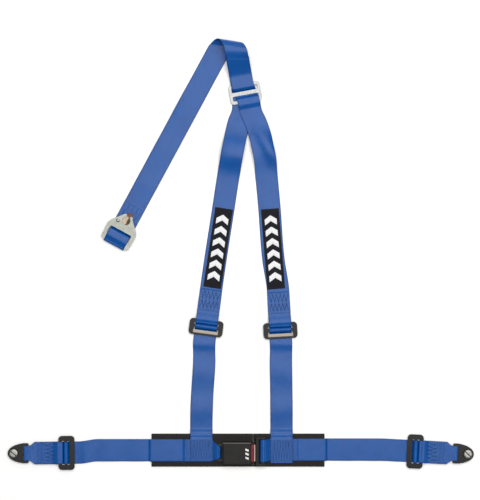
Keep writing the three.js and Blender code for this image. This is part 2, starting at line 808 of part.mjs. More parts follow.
// Half of the casing: a block with eased rims, hollowed, open where the two halves meet and at its mouth.
// The top half (eased > 0) has the broader rims.
function casing(z0, z1, eased) {
  const { x0, x1, half, wall } = CASE;
  const middle = (x0 + x1) / 2;
  const spare = 6;
  const outline = rounded(middle, 0, x1 - x0, 2 * half, 5);
  const slice = (from, to) => box(-99, 99, -99, 99, from, to);
  const [block, trim, hollowFrom, hollowTo] =
    eased > 0
      ? [plate(outline, z0 - spare, z1, 3, 5), slice(z0 - 2 * spare, z0), z0 - 1, z1 - wall]
      : [plate(outline, z0, z1 + spare, 1.5, 5), slice(z1, z1 + 2 * spare), z0 + wall, z1 + 1];
  const hollow = box(x0 + wall, x1 - wall, wall - half, half - wall, hollowFrom, hollowTo);
  const mouth = box(x1 - wall - 1, x1 + 1, -MOUTH.half, MOUTH.half, MOUTH.z0, MOUTH.z1);
  const tail = box(x0 - 1, x0 + wall + 1, -20.4, 20.4, FRAME_PLATE.z0 - GAP, FRAME_PLATE.z1 + GAP);
  return cut(block, trim, hollow, mouth, tail);
}

// Steel channel: a tail with the strap slot, two cheeks for the pivot pin, and two spring seats.
function buckleFrame() {
  const { z0, z1 } = FRAME_PLATE;
  const shape = new THREE.Shape();
  const tail = FRAME_BAR.outer;
  shape.moveTo(tail + 5, -20);
  shape.lineTo(17, -20);
  shape.lineTo(17, 20);
  shape.lineTo(tail + 5, 20);
  shape.absarc(tail + 5, 15, 5, Math.PI / 2, Math.PI, false);
  shape.absarc(tail + 5, -15, 5, Math.PI, 1.5 * Math.PI, false);
  shape.holes.push(roundedHole(FRAME_BAR.inner + 3, 0, 6, 2 * LEFT_NECK + 1.6, 2));
  const cheek = (side) => box(-30, -13.8, side > 0 ? 18 : -20, side > 0 ? 20 : -18, z1 - 0.5, 19.6);
  const seat = (side) => box(-15.5, -13.8, side > 0 ? 13.8 : -19, side > 0 ? 19 : -13.8, z1 - 0.5, 19.6);
  const body = join(plate(shape, z0, z1, 0, 4), cheek(1), cheek(-1), seat(1), seat(-1));
  return cut(body, cylinder(PIN.radius + 0.15, 60, "y", PIN.x, 0, PIN.z, 16));
}

// Knuckle round the pin, plate forward over the tongue, and the tooth above the tongue's window.
function latchPlate() {
  const knuckle = cylinder(2.6, 26, "y", PIN.x, 0, PIN.z, 20);
  const arm = box(PIN.x, 2, -13, 13, 14.1, 15.7);
  const tooth = box(-7, -2, -6, 6, TONGUE_PLATE.z1 + GAP, 14.6);
  return cut(join(knuckle, arm, tooth), cylinder(PIN.radius + 0.15, 60, "y", PIN.x, 0, PIN.z, 16));
}

function releaseButton() {
  const face = plate(rounded(20, 0, 24, 38.2, 2.5), 13.2, 19.8, 0.8, 3);
  const shoulder = box(8.2, 20.3, -21.6, 21.6, 13.4, 19.5);
  return join(face, shoulder);
}

// Sheet-steel blade with the latch window, widening to the bar that the right lap strap loops on.
function tonguePlate() {
  const { z0, z1 } = TONGUE_PLATE;
  const [y0, y1] = [TONGUE_SHIFT - 30.8, TONGUE_SHIFT + 30.8];
  const shape = new THREE.Shape();
  shape.moveTo(-16, -12);
  shape.lineTo(35.2, -12);
  shape.lineTo(35.2, y0);
  shape.lineTo(TONGUE_BAR.outer - 3, y0);
  shape.absarc(TONGUE_BAR.outer - 3, y0 + 3, 3, -Math.PI / 2, 0, false);
  shape.absarc(TONGUE_BAR.outer - 3, y1 - 3, 3, 0, Math.PI / 2, false);
  shape.lineTo(35.2, y1);
  shape.lineTo(35.2, 12);
  shape.lineTo(-16, 12);
  shape.lineTo(-18, 9);
  shape.lineTo(-18, -9);
  shape.holes.push(roundedHole(TONGUE_BAR.inner - 3.25, TONGUE_SHIFT, 6.5, 54, 2));
  shape.holes.push(roundedHole(-4.5, 0, 7, 14, 1));
  return plate(shape, z0, z1, 0, 4);
}

// Moulded cover on the tongue's wide end, open over the strap's slot and bar.
function tongueCover() {
  const [x0, x1] = [33, TONGUE_BAR.outer + 3.3];
  const block = plate(rounded((x0 + x1) / 2, TONGUE_SHIFT, x1 - x0, 65, 3), 8, 14.3, 1.2, 4);
  const window = box(39.7, x1 + 1, TONGUE_SHIFT - 27.2, TONGUE_SHIFT + 27.2, 0, 20);
  const cavity = box(34.7, TONGUE_BAR.outer + 0.3, TONGUE_SHIFT - 31.1, TONGUE_SHIFT + 31.1, 9.5, 12.6);
  const neck = box(x0 - 1, 36, -12.4, 12.4, 9.5, 12.6);
  return cut(block, window, cavity, neck);
}

const springAlong = (length, radius, wire, turns, x, y, z) =>
  coil(length, radius, wire, turns).translate(x, y, z);

add("buckle_bottom_cover", casing(CASE.z0, CASE.split, -1), BLACK_PLASTIC, buckle);
add("buckle_top_cover", casing(CASE.split + GAP, CASE.top, 1), BLACK_PLASTIC, buckle);
add("buckle_frame", buckleFrame(), BLACK_STEEL, buckle);
add("latch_pin", cylinder(PIN.radius, 2 * PIN.half, "y", PIN.x, 0, PIN.z, 16), SPRING_STEEL, buckle);
add("latch_plate", latchPlate(), ZINC, buckle);
add("latch_spring", coil(4, 3, 0.4, 3).rotateY(-Math.PI / 2).translate(-12, 0, 16), SPRING_STEEL, buckle);
add("release_button", releaseButton(), RED_PLASTIC, buckle);
add("button_spring_upper", springAlong(21, 2.2, 0.4, 6, -13.4, 16.4, 16.5), SPRING_STEEL, buckle);
add("button_spring_lower", springAlong(21, 2.2, 0.4, 6, -13.4, -16.4, 16.5), SPRING_STEEL, buckle);
add("ejector", plate(rounded(-23.3, 0, 9, 20, 1.5), 9.8, 12.9, 0.3, 3), BLACK_PLASTIC, buckle);
add("ejector_spring", springAlong(10, 2, 0.4, 4, -38.4, 0, 12.2), SPRING_STEEL, buckle);
add("tongue_plate", tonguePlate(), BLACK_STEEL, buckle);
add("tongue_cover", tongueCover(), BLACK_PLASTIC, buckle);

export default harness;
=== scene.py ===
"""Looks of the three-point racing harness, laid flat on a table and seen from straight above.
Routes are in millimetres, as in the CAD, and every mesh is made in metres in the CAD's own frame."""
import math

import bmesh
import bpy
import numpy as np
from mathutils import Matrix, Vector


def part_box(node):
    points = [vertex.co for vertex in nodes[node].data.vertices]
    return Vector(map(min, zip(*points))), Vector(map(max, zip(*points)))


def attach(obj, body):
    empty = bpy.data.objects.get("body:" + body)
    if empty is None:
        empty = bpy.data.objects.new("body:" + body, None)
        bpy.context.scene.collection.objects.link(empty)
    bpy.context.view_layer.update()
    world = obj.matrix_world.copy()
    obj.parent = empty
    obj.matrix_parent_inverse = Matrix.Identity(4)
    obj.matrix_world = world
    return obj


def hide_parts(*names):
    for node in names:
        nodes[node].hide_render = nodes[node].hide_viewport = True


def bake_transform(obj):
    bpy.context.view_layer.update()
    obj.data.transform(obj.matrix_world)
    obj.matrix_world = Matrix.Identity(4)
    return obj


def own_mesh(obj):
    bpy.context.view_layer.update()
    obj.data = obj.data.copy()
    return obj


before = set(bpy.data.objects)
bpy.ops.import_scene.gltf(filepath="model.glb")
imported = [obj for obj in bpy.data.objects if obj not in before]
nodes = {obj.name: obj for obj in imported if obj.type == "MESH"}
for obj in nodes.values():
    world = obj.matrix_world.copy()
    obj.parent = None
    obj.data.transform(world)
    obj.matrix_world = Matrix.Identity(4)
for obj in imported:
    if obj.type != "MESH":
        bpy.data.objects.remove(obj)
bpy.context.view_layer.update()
scene = bpy.context.scene

MM = 0.001
WEB_HALF = 25.0
WEB_THICK = 1.3
GAP = 0.3
PAD_THICK = 3.5
LAYER = WEB_THICK + GAP
STEP = 6.0  # longest stretch of strap between cross-sections
CAMERA = (-0.00168, 0.01008, 3.5)  # metres: over the middle of the photo


# ---------- camera and light ----------

def place_camera():
    data = bpy.data.cameras.new("camera")
    data.lens = 112.5
    data.sensor_width = 36
    data.clip_end = 20
    camera = bpy.data.objects.new("camera", data)
    camera.location = CAMERA
    scene.collection.objects.link(camera)
    scene.camera = camera


def area_light(name, place, aim, size, power, tint):
    data = bpy.data.lights.new(name, "AREA")
    data.shape = "RECTANGLE"
    data.size, data.size_y = size
    data.energy = power
    data.color = tint
    light = bpy.data.objects.new(name, data)
    light.location = place
    light.rotation_euler = (Vector(aim) - Vector(place)).to_track_quat("-Z", "Y").to_euler()
    scene.collection.objects.link(light)


place_camera()


# ---------- node materials ----------

def linear(*rgb):
    """sRGB bytes as a linear colour."""
    values = []
    for c in rgb:
        c = c / 255
        values.append(c / 12.92 if c <= 0.04045 else ((c + 0.055) / 1.055) ** 2.4)
    return (*values, 1)


def shade(colour, gain, lift=0.0):
    return tuple(min(1, gain * c + lift) for c in colour[:3]) + (1,)


class Look:
    """A material being built: sockets in, sockets out."""

    def __init__(self, name, **sockets):
        self.material = bpy.data.materials.new(name)
        self.material.use_nodes = True
        self.tree = self.material.node_tree
        self.tree.nodes.clear()
        output = self.tree.nodes.new("ShaderNodeOutputMaterial")
        self.shader = self.tree.nodes.new("ShaderNodeBsdfPrincipled")
        self.tree.links.new(self.shader.outputs[0], output.inputs["Surface"])
        for key, value in sockets.items():
            self.shader.inputs[key.replace("_", " ")].default_value = value

    def put(self, socket, value):
        if isinstance(value, bpy.types.NodeSocket):
            self.tree.links.new(value, socket)
        else:
            socket.default_value = value

    def node(self, kind, values=(), **settings):
        made = self.tree.nodes.new("ShaderNode" + kind)
        for key, value in settings.items():
            setattr(made, key, value)
        for key, value in dict(values).items():
            self.put(made.inputs[key], value)
        return made

    def math(self, operation, *values):
        made = self.tree.nodes.new("ShaderNodeMath")
        made.operation = operation
        for i, value in enumerate(values):
            self.put(made.inputs[i], value)
        return made.outputs[0]

    def smooth(self, value, low, high, out_low=0.0, out_high=1.0):
        made = self.node("MapRange", interpolation_type="SMOOTHSTEP")
        for i, v in enumerate((value, low, high, out_low, out_high)):
            self.put(made.inputs[i], v)
        return made.outputs[0]

    def noise(self, scale, detail=3, vector=None, rough=0.5):
        made = self.node("TexNoise", {"Scale": scale, "Detail": detail, "Roughness": rough})
        self.tree.links.new(vector or self.place, made.inputs["Vector"])
        return made.outputs["Fac"]

    @property
    def place(self):
        if not hasattr(self, "_place"):
            self._place = self.node("TexCoord").outputs["Object"]
        return self._place

    def weave(self):
        """The strap's own UVs in metres: the vector, its part along the strap and its part across."""
        strap = self.node("UVMap", uv_map="strap").outputs[0]
        parts = self.node("SeparateXYZ", {0: strap}).outputs
        return strap, parts[0], parts[1]

    def wave(self, value, pitch):
        """A sine with the given pitch in metres."""
        return self.math("SINE", self.math("MULTIPLY", value, 2 * math.pi / pitch))

    def along(self, where):
        """How far along a lane, in metres."""
        reach = self.node("VectorMath", {0: self.place, 1: tuple(where.ahead)}, operation="DOT_PRODUCT")
        return self.math("SUBTRACT", reach.outputs["Value"], float(where.origin @ where.ahead) * MM)

    def across(self, where):
        return self.along(Lane(*where.origin[:2], where.heading + 90))

    def mix(self, share, a, b):
        made = self.node("Mix", data_type="RGBA")
        self.put(made.inputs[0], share)
        self.put(made.inputs[6], a)
        self.put(made.inputs[7], b)
        return made.outputs[2]

    def mottled(self, cloud, dark, light):
        return self.mix(self.smooth(cloud, 0.3, 0.7), dark, light)

    def bump(self, height, distance, strength):
        return self.node("Bump", {"Strength": strength, "Distance": distance, "Height": height}).outputs[0]

    def finish(self, **sockets):
        for key, value in sockets.items():
            self.put(self.shader.inputs[key.replace("_", " ")], value)
        return self.material


def webbing_look(name, dark, light):
    """Herringbone webbing with a firm selvedge: a twill that turns back at each fold, over a fine yarn."""
    twill_pitch, yarn_pitch, fold_width = 0.0017, 0.00105, 0.0031
    look = Look(name, Specular_IOR_Level=0.275)
    strap, along, across = look.weave()
    fold = look.math("PINGPONG", look.math("ADD", across, 0.1), fold_width)  # 0.1 keeps it positive
    twill = look.wave(look.math("ADD", along, fold), twill_pitch)
    yarn = look.wave(across, yarn_pitch)
    weave = look.math("MULTIPLY_ADD", twill, 0.32, look.math("MULTIPLY_ADD", yarn, 0.18, 0.5))
    from_middle = look.math("ABSOLUTE", across)
    selvedge = look.smooth(from_middle, 0.0222, 0.0245)
    seam = look.smooth(look.math("ABSOLUTE", look.math("SUBTRACT", from_middle, 0.0219)), 0.0, 0.0005, 1, 0)
    cloud = look.noise(38, 4, strap, 0.6)
    fibre = look.noise(900, 2, strap)
    worn = look.noise(260, 3, strap, 0.65)
    tone = look.math("MULTIPLY_ADD", cloud, 0.7, look.math("MULTIPLY", weave, 0.45))
    tone = look.math("SUBTRACT", tone, look.math("MULTIPLY", seam, 0.25))
    body = look.mix(look.smooth(tone, 0.2, 0.95), dark, light)
    body = look.mix(look.math("MULTIPLY", selvedge, 0.75), body, shade(dark, 0.62))
    rubbed = look.math("MULTIPLY", look.smooth(worn, 0.6, 0.75), look.math("MULTIPLY", selvedge, 0.3))
    body = look.mix(rubbed, body, shade(light, 1.9, 0.02))
    height = look.math("MULTIPLY_ADD", fibre, 0.25, weave)
    height = look.math("MULTIPLY_ADD", seam, -0.5, height)
    return look.finish(
        Base_Color=body,
        Roughness=look.smooth(fibre, 0.2, 0.8, 0.23, 0.32),
        Normal=look.bump(height, 0.0001, 0.5),
    )


def thread_look(name, dark, light):
    look = Look(name, Specular_IOR_Level=0.4)
    twist = look.noise(2600, 2)
    return look.finish(
        Base_Color=look.mix(twist, dark, light),
        Roughness=look.smooth(twist, 0.2, 0.8, 0.5, 0.75),
        Normal=look.bump(twist, 0.0001, 0.6),
    )


def pad_look():
    """Black leather-cloth: fine pebbled grain, a brownish cast, rubbed paler in places."""
    look = Look("pad_leathercloth", Specular_IOR_Level=0.18)
    pebbles = look.node("TexVoronoi", {"Scale": 780.0, "Vector": look.place}, feature="F1")
    grain = pebbles.outputs["Distance"]
    fine = look.noise(1500, 3)
    cloud = look.noise(24, 4)
    colour = look.mottled(cloud, linear(31, 27, 28), linear(44, 39, 40))
    colour = look.mix(look.smooth(grain, 0.25, 0.6, 0, 0.5), colour, linear(20, 17, 18))
    scuff = look.math("MULTIPLY", look.smooth(look.noise(140, 4), 0.62, 0.74), 0.35)
    colour = look.mix(scuff, colour, linear(66, 61, 60))
    height = look.math("MULTIPLY_ADD", fine, 0.4, look.math("SUBTRACT", 1.0, grain))
    return look.finish(
        Base_Color=colour,
        Roughness=look.smooth(cloud, 0.3, 0.7, 0.62, 0.8),
        Normal=look.bump(height, 0.00018, 0.7),
    )


def moulded_look(name, dark, light, grain=1400.0, rough=(0.38, 0.55), scuff=0.25, rim=None):
    """Moulded plastic with a spark-eroded grain and faint scuffs; rim is a lane, how far to its left
    a thin painted highlight line runs along the edge (metres), and that highlight's colour."""
    look = Look(name, Specular_IOR_Level=0.16)
    pits = look.noise(grain, 3, rough=0.6)
    cloud = look.noise(60, 3)
    marks = look.smooth(look.noise(210, 5, rough=0.7), 0.62, 0.76)
    colour = look.mottled(cloud, dark, light)
    colour = look.mix(look.math("MULTIPLY", marks, scuff), colour, shade(light, 1.7, 0.02))
    # Painted highlight: a thin light line along the rim, where light would catch the edge.
    if rim:
        where, left, tone = rim
        gap = look.math("ABSOLUTE", look.math("SUBTRACT", look.across(where), left))
        colour = look.mix(look.smooth(gap, 0.0003, 0.001, 1, 0), colour, tone)
    return look.finish(
        Base_Color=colour,
        Roughness=look.smooth(look.math("MULTIPLY_ADD", marks, 0.3, cloud), 0.25, 0.9, *rough),
        Normal=look.bump(pits, 0.00008, 0.55),
    )


def painted_steel_look(name, painted_reflection=None):
    """Black powder coat with orange peel; the optional lane and band along it (metres) are painted pale
    and made metallic there: a painted reflection across an adjuster's near bar."""
    look = Look(name, Coat_Weight=0.05, Coat_Roughness=0.15, Specular_IOR_Level=0.14)
    peel = look.noise(520, 2)
    cloud = look.noise(70, 4)
    rub = look.smooth(look.noise(330, 5, rough=0.75), 0.68, 0.74)
    colour = look.mottled(cloud, linear(14, 14, 15), linear(26, 25, 26))
    colour = look.mix(look.math("MULTIPLY", rub, 0.5), colour, linear(96, 94, 92))
    # A pale, metallic band across the near bar: painted reflection, where light catches the bar.
    if painted_reflection:
        where, low, high = painted_reflection
        along, across = look.along(where), look.math("ABSOLUTE", look.across(where))
        past_low = look.smooth(along, low - 0.001, low + 0.0015)
        before_high = look.smooth(along, high, high + 0.001, 1, 0)
        under_web = look.smooth(across, 0.0265, 0.0295, 1, 0)
        band = look.math("MULTIPLY", look.math("MULTIPLY", past_low, before_high), under_web)
        colour = look.mix(band, colour, look.mix(cloud, linear(92, 86, 79), linear(120, 114, 107)))
        look.put(look.shader.inputs["Metallic"], band)
    return look.finish(
        Base_Color=colour,
        Roughness=look.smooth(cloud, 0.3, 0.7, 0.2, 0.34),
        Normal=look.bump(peel, 0.00012, 0.35),
    )


def metal_look(name, dark, light, rough=(0.2, 0.4), brushed=(1, 1, 1), stain=0.1, painted_shade_below=None):
    """Plated or drawn steel: fine scratches, cloudy patches, pits, and painted shade below a height (metres).
    """
    look = Look(name, Metallic=1.0)
    stretch = look.node("Mapping", {"Vector": look.place, "Scale": brushed}).outputs[0]
    lines = look.noise(420, 4, stretch, 0.7)
    cloud = look.noise(90, 4)
    pits = look.smooth(look.noise(1300, 2), 0.66, 0.75)
    colour = look.mix(look.smooth(lines, 0.25, 0.75), dark, light)
    stained = look.math("MULTIPLY", look.smooth(cloud, 0.5, 0.75), stain)
    colour = look.mix(stained, colour, shade(dark, 0.55))
    # Painted shade: darker below the given height, as in the slot of a bolt's head.
    if painted_shade_below:
        up = look.node("SeparateXYZ", {0: look.place}).outputs[2]
        colour = look.mix(look.smooth(up, painted_shade_below - 0.0006, painted_shade_below, 0.85, 0), colour, linear(30, 28, 26))
    height = look.math("SUBTRACT", look.math("MULTIPLY", lines, 0.6), look.math("MULTIPLY", pits, 0.6))
    wear = look.math("MULTIPLY_ADD", cloud, 0.6, look.math("MULTIPLY", lines, 0.4))
    return look.finish(
        Base_Color=colour,
        Roughness=look.smooth(wear, 0.3, 0.8, *rough),
        Normal=look.bump(height, 0.00003, 0.3),
    )


def gate_look(where):
    """Copper-washed spring steel: pale in the middle of the hole, brown towards the throat, and painted shade
    on one side.
    """
    look = Look("coppery_steel", Metallic=1.0)
    cloud = look.noise(160, 4)
    side = look.math("MULTIPLY_ADD", cloud, 0.003, look.across(where))
    colour = look.mottled(cloud, linear(124, 112, 98), linear(140, 126, 114))
    # Painted shade: dark olive-brown on one side of the hole, standing in for the strap seen in shadow
    # through it.
    colour = look.mix(look.smooth(side, 0.0012, 0.0048), colour, linear(52, 46, 36))
    colour = look.mix(look.smooth(look.along(where), -0.012, -0.008, 1, 0), colour, linear(74, 52, 42))
    return look.finish(
        Base_Color=colour,
        Roughness=look.smooth(cloud, 0.3, 0.7, 0.3, 0.45),
        Normal=look.bump(look.noise(900, 2), 0.00003, 0.4),
    )


def label_look():
    """Close black taffeta with a fine rib across the label."""
    look = Look("label_taffeta", Specular_IOR_Level=0.15)
    patch, along, across = look.weave()
    weave = look.math("MULTIPLY", look.wave(along, 0.0007), look.wave(across, 0.0005))
    cloud = look.noise(50, 3, patch)
    colour = look.mottled(cloud, linear(12, 12, 17), linear(22, 22, 28))
    colour = look.mix(look.smooth(weave, -1, 1, 0, 0.35), colour, linear(34, 35, 42))
    return look.finish(Base_Color=colour, Roughness=0.7, Normal=look.bump(weave, 0.0001, 0.5))


def satin_stitch_look():
    """White embroidery: threads laid side by side along the mark."""
    look = Look("white_embroidery", Sheen_Weight=0.3)
    patch, along, _ = look.weave()
    strands = look.wave(along, 0.0006)
    colour = look.mix(look.smooth(strands, -1, 1), linear(214, 216, 220), linear(250, 250, 250))
    soiled = look.smooth(look.noise(120, 3, patch), 0.55, 0.75, 0, 0.3)
    colour = look.mix(soiled, colour, linear(170, 172, 176))
    return look.finish(Base_Color=colour, Roughness=0.6, Normal=look.bump(strands, 0.00012, 0.6))


BLUE = webbing_look("blue_webbing", linear(0, 63, 131), linear(1, 81, 157))
THREAD = thread_look("blue_thread", linear(2, 42, 94), linear(10, 64, 124))
MATCHED_THREAD = thread_look("webbing_blue_thread", linear(0, 54, 114), linear(8, 76, 144))
JOIN_THREAD = thread_look("pale_blue_thread", linear(30, 92, 158), linear(70, 124, 186))
PAD_THREAD = thread_look("black_thread", linear(30, 27, 27), linear(72, 66, 64))
LABEL_THREAD = thread_look("label_thread", linear(16, 17, 20), linear(52, 54, 60))
PAD_CLOTH = pad_look()
LABEL_CLOTH = label_look()
EMBROIDERY = satin_stitch_look()
BLACK_STEEL = painted_steel_look("black_coated_steel")
BLACK_PLASTIC = moulded_look("black_moulding", linear(21, 20, 20), linear(33, 32, 31))
PRINT = moulded_look("white_print", linear(206, 206, 204), linear(232, 232, 230), scuff=0.1)
FIBRE = moulded_look("vulcanised_fibre", linear(88, 58, 42), linear(120, 84, 60), 600.0, (0.7, 0.85))
ZINC = metal_look("zinc_plate", linear(112, 114, 109), linear(134, 136, 130), (0.34, 0.46), stain=0.12)
BRIGHT = metal_look("bright_steel", linear(112, 113, 114), linear(136, 137, 138), brushed=(1, 0.15, 1))
# The bolts get painted shade in the slot of the head.
BOLT_ZINC = metal_look("bolt_zinc", linear(120, 120, 116), linear(146, 145, 140), (0.3, 0.4), painted_shade_below=0.0104)
SPRING = metal_look("spring_steel", linear(88, 90, 93), linear(122, 124, 127), stain=0.2)


# ---------- meshes ----------

def tube(rings, around, base=0):
    """Faces between rings of points in turn, then a cap at each end."""
    faces = []
    for i in range(rings - 1):
        for j in range(around):
            a, b = base + i * around + j, base + i * around + (j + 1) % around
            faces.append((a, b, b + around, a + around))
    last = base + (rings - 1) * around
    return faces + [tuple(range(base, base + around)), tuple(range(last, last + around))]


def mesh_piece(name, points, faces, material, uvs=None, flat_from=None):
    """A smooth mesh from points in millimetres; uvs, one per point, are millimetres too.
    Faces from flat_from on are flat, with a crisp rim."""
    mesh = bpy.data.meshes.new(name)
    mesh.from_pydata([tuple(c * MM for c in p) for p in points], [], faces)
    if uvs is not None:
        layer = mesh.uv_layers.new(name="strap")
        corners = np.zeros(len(mesh.loops), np.int32)
        mesh.loops.foreach_get("vertex_index", corners)
        layer.data.foreach_set("uv", (np.array(uvs, float)[corners] * MM).ravel())
    built = bmesh.new()
    built.from_mesh(mesh)
    bmesh.ops.recalc_face_normals(built, faces=built.faces)
    built.faces.ensure_lookup_table()
    for face in built.faces:
        face.smooth = flat_from is None or face.index < flat_from
        if not face.smooth:
            for edge in face.edges:
                edge.smooth = False
    built.to_mesh(mesh)
    built.free()
    mesh.materials.append(material)
    made = bpy.data.objects.new(name, mesh)
    scene.collection.objects.link(made)
    return made


class Lane:
    """A straight line on the table: where it starts, the way it heads, and its left side."""

    def __init__(self, x, y, heading):
        turn = math.radians(heading)
        self.heading = heading
        self.origin = np.array([x, y, 0.0])
        self.ahead = np.array([math.cos(turn), math.sin(turn), 0.0])
        self.left = np.array([-math.sin(turn), math.cos(turn), 0.0])

    def at(self, along, across=0.0, height=0.0):
        return self.origin + along * self.ahead + across * self.left + np.array([0, 0, height])

    def metres(self, along, height=0.0):
        return tuple(self.at(along, 0, height) * MM)


TABLE = Lane(0, 0, 0)


def smooth(t):
    return t * t * (3 - 2 * t)


def mix(a, b, t):
    return a + (b - a) * t


def clamp(t):
    return min(max(t, 0.0), 1.0)


# Heights of a strap's middle: in a stack of layers, over or under a face, and on a buckle pad.
def level(layer):
    return WEB_THICK / 2 + layer * LAYER


def above(face):
    return face + GAP + WEB_THICK / 2


def below(face):
    return face - GAP - WEB_THICK / 2


def on_pad(layer):
    return PAD_THICK + GAP + level(layer)


class Track:
    """The side view of a strap in its lane, as (along, height) of the strap's middle."""

    def __init__(self, along, height):
        self.points = [(along, height)]

    def run(self, along):
        start, height = self.points[-1]
        steps = max(1, math.ceil(abs(along - start) / STEP))
        self.points += [(mix(start, along, i / steps), height) for i in range(1, steps + 1)]
        return self

    def ramp(self, along, height, steps=12):
        start, low = self.points[-1]
        for i in range(1, steps + 1):
            self.points.append((mix(start, along, i / steps), mix(low, height, smooth(i / steps))))
        return self

    def crest(self, along, rise):
        start, low = self.points[-1]
        steps = 9
        for i in range(1, steps + 1):
            self.points.append((mix(start, along, i / steps), low + rise * math.sin(math.pi * i / steps)))
        return self

    def wrap(self, way, height):
        """A half turn round a bar to another height; way is 1 or -1, the side it bulges to."""
        start, low = self.points[-1]
        radius, steps = abs(height - low) / 2, 14
        for i in range(1, steps + 1):
            turn = math.pi * i / steps
            lift = (1 - math.cos(turn)) / 2
            self.points.append((start + way * radius * math.sin(turn), mix(low, height, lift)))
        return self

    def beside(self, distance):
        """The track of a layer at this distance on top."""
        moved = []
        for i, (along, height) in enumerate(self.points):
            a0, h0 = self.points[max(i - 1, 0)]
            a1, h1 = self.points[min(i + 1, len(self.points) - 1)]
            length = math.hypot(a1 - a0, h1 - h0)
            moved.append((along - distance * (h1 - h0) / length, height + distance * (a1 - a0) / length))
        return self.of(moved)

    def between(self, low, high):
        return self.of([p for p in self.points if low <= p[0] <= high])

    @staticmethod
    def of(points):
        track = Track(0, 0)
        track.points = points
        return track


def stations(where, track, half=None, shift=None, skew=None):
    """Cross-sections as (middle, vector from there to the left edge)."""
    found = []
    for along, height in track.points:
        across = where.left + where.ahead * (skew(along) if skew else 0)
        middle = where.at(along, 0, height) + across * (shift(along) if shift else 0)
        found.append((middle, across * (half(along) if half else WEB_HALF)))
    return found


def waypoint(x, y, heading, height=WEB_THICK / 2):
    where = Lane(x, y, heading)
    return (where.at(0, 0, height), where.left * WEB_HALF)


def flipped(found):
    return [(middle, -edge) for middle, edge in found]


def eased(found):
    """Cross-sections with a smooth curve through their long gaps, and each old one's new place."""
    points = [m for m, _ in found]
    spans = [max(np.linalg.norm(b - a), 1e-6) for a, b in zip(points, points[1:])]

    def tangent(i):
        if i == 0:
            return (points[1] - points[0]) / spans[0]
        if i == len(points) - 1:
            return (points[-1] - points[-2]) / spans[-1]
        before, after = spans[i - 1], spans[i]
        first, last = (points[i] - points[i - 1]) / before, (points[i + 1] - points[i]) / after
        return (first * after + last * before) / (before + after)

    made, places = [], []
    for i, (middle, edge) in enumerate(found):
        places.append(len(made))
        made.append((middle, edge))
        if i == len(found) - 1 or spans[i] < 1.6 * STEP:
            continue
        span = spans[i]
        t0, t1 = tangent(i) * span, tangent(i + 1) * span
        last, last_edge = found[i + 1]
        steps = math.ceil(span / STEP)
        for k in range(1, steps):
            t = k / steps
            curve = (
                (2 * t**3 - 3 * t**2 + 1) * middle
                + (t**3 - 2 * t**2 + t) * t0
                + (3 * t**2 - 2 * t**3) * last
                + (t**3 - t**2) * t1
            )
            made.append((curve, mix(edge, last_edge, t)))
    return made, places


# A strap's section: share of the half width, and share of the half thickness. The rims are round.
RIM = [(1, 0), (0.994, 0.6), (0.978, 0.93), (0.93, 1)]
ACROSS = [0.86, 0.58, 0.29, 0, -0.29, -0.58, -0.86]
TOP = RIM + [(a, 1) for a in ACROSS] + [(-a, b) for a, b in reversed(RIM)]
SECTION = TOP + [(a, -b) for a, b in reversed(TOP[1:-1])]


def lifted(points, waves):
    """Points raised off the table by soft waves: (x, y, heading, length, width, height) of each."""
    moved = np.array(points)
    for x, y, heading, long, wide, height in waves:
        where = Lane(x, y, heading)
        away = moved - where.origin
        along, across = away @ where.ahead / long, away @ where.left / wide
        moved[:, 2] += height * np.exp(-0.5 * (along**2 + across**2))
    return moved


def strap(node, parts, waves=()):
    """One length of webbing as pieces that meet edge to edge; parts are (piece name, cross-sections).
    Returns the pieces. Each stands for the CAD node."""
    found, starts = [], []
    for _, listed in parts:
        for k, station in enumerate(listed):
            if found and np.linalg.norm(found[-1][0] - station[0]) < 0.02:
                found.pop()
            if k == 0:
                starts.append(len(found))
            found.append(station)
    found, places = eased(found)
    starts = [places[i] for i in starts] + [len(found) - 1]
    points = np.array([m for m, _ in found])
    points[:, 2] = np.maximum(points[:, 2], WEB_THICK / 2)
    edges = np.array([e for _, e in found])
    steps = np.diff(points, axis=0)
    lengths = np.concatenate([[0], np.cumsum(np.linalg.norm(steps, axis=1))])
    ways = steps / np.linalg.norm(steps, axis=1)[:, None]
    faces_in = np.cross(edges, np.vstack([ways[:1], ways]))
    faces_out = np.cross(edges, np.vstack([ways, ways[-1:]]))
    faces_in /= np.linalg.norm(faces_in, axis=1)[:, None]
    faces_out /= np.linalg.norm(faces_out, axis=1)[:, None]
    up = faces_in + faces_out
    up /= np.linalg.norm(up, axis=1)[:, None]
    up *= (WEB_THICK / 2 / np.maximum((up * faces_in).sum(1), 0.6))[:, None]
    pieces = []
    for k, (name, _) in enumerate(parts):
        first, last = starts[k], starts[k + 1]
        verts, uvs = [], []
        for i in range(first, last + 1):
            for a, b in SECTION:
                verts.append(points[i] + a * edges[i] + b * up[i])
                uvs.append((lengths[i], a * WEB_HALF))
        faces = tube(last - first + 1, len(SECTION))
        piece = mesh_piece(name, lifted(verts, waves), faces, BLUE, uvs, len(faces) - 2)
        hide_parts(node)
        pieces.append(piece)
    return pieces


# ---------- stitching ----------

STITCH_RINGS = ((0.2, 0.12), (0.5, 0.2), (0.8, 0.12))  # share of a stitch's length, rise
STITCH_DIP = 0.25  # how far its ends go into the cloth


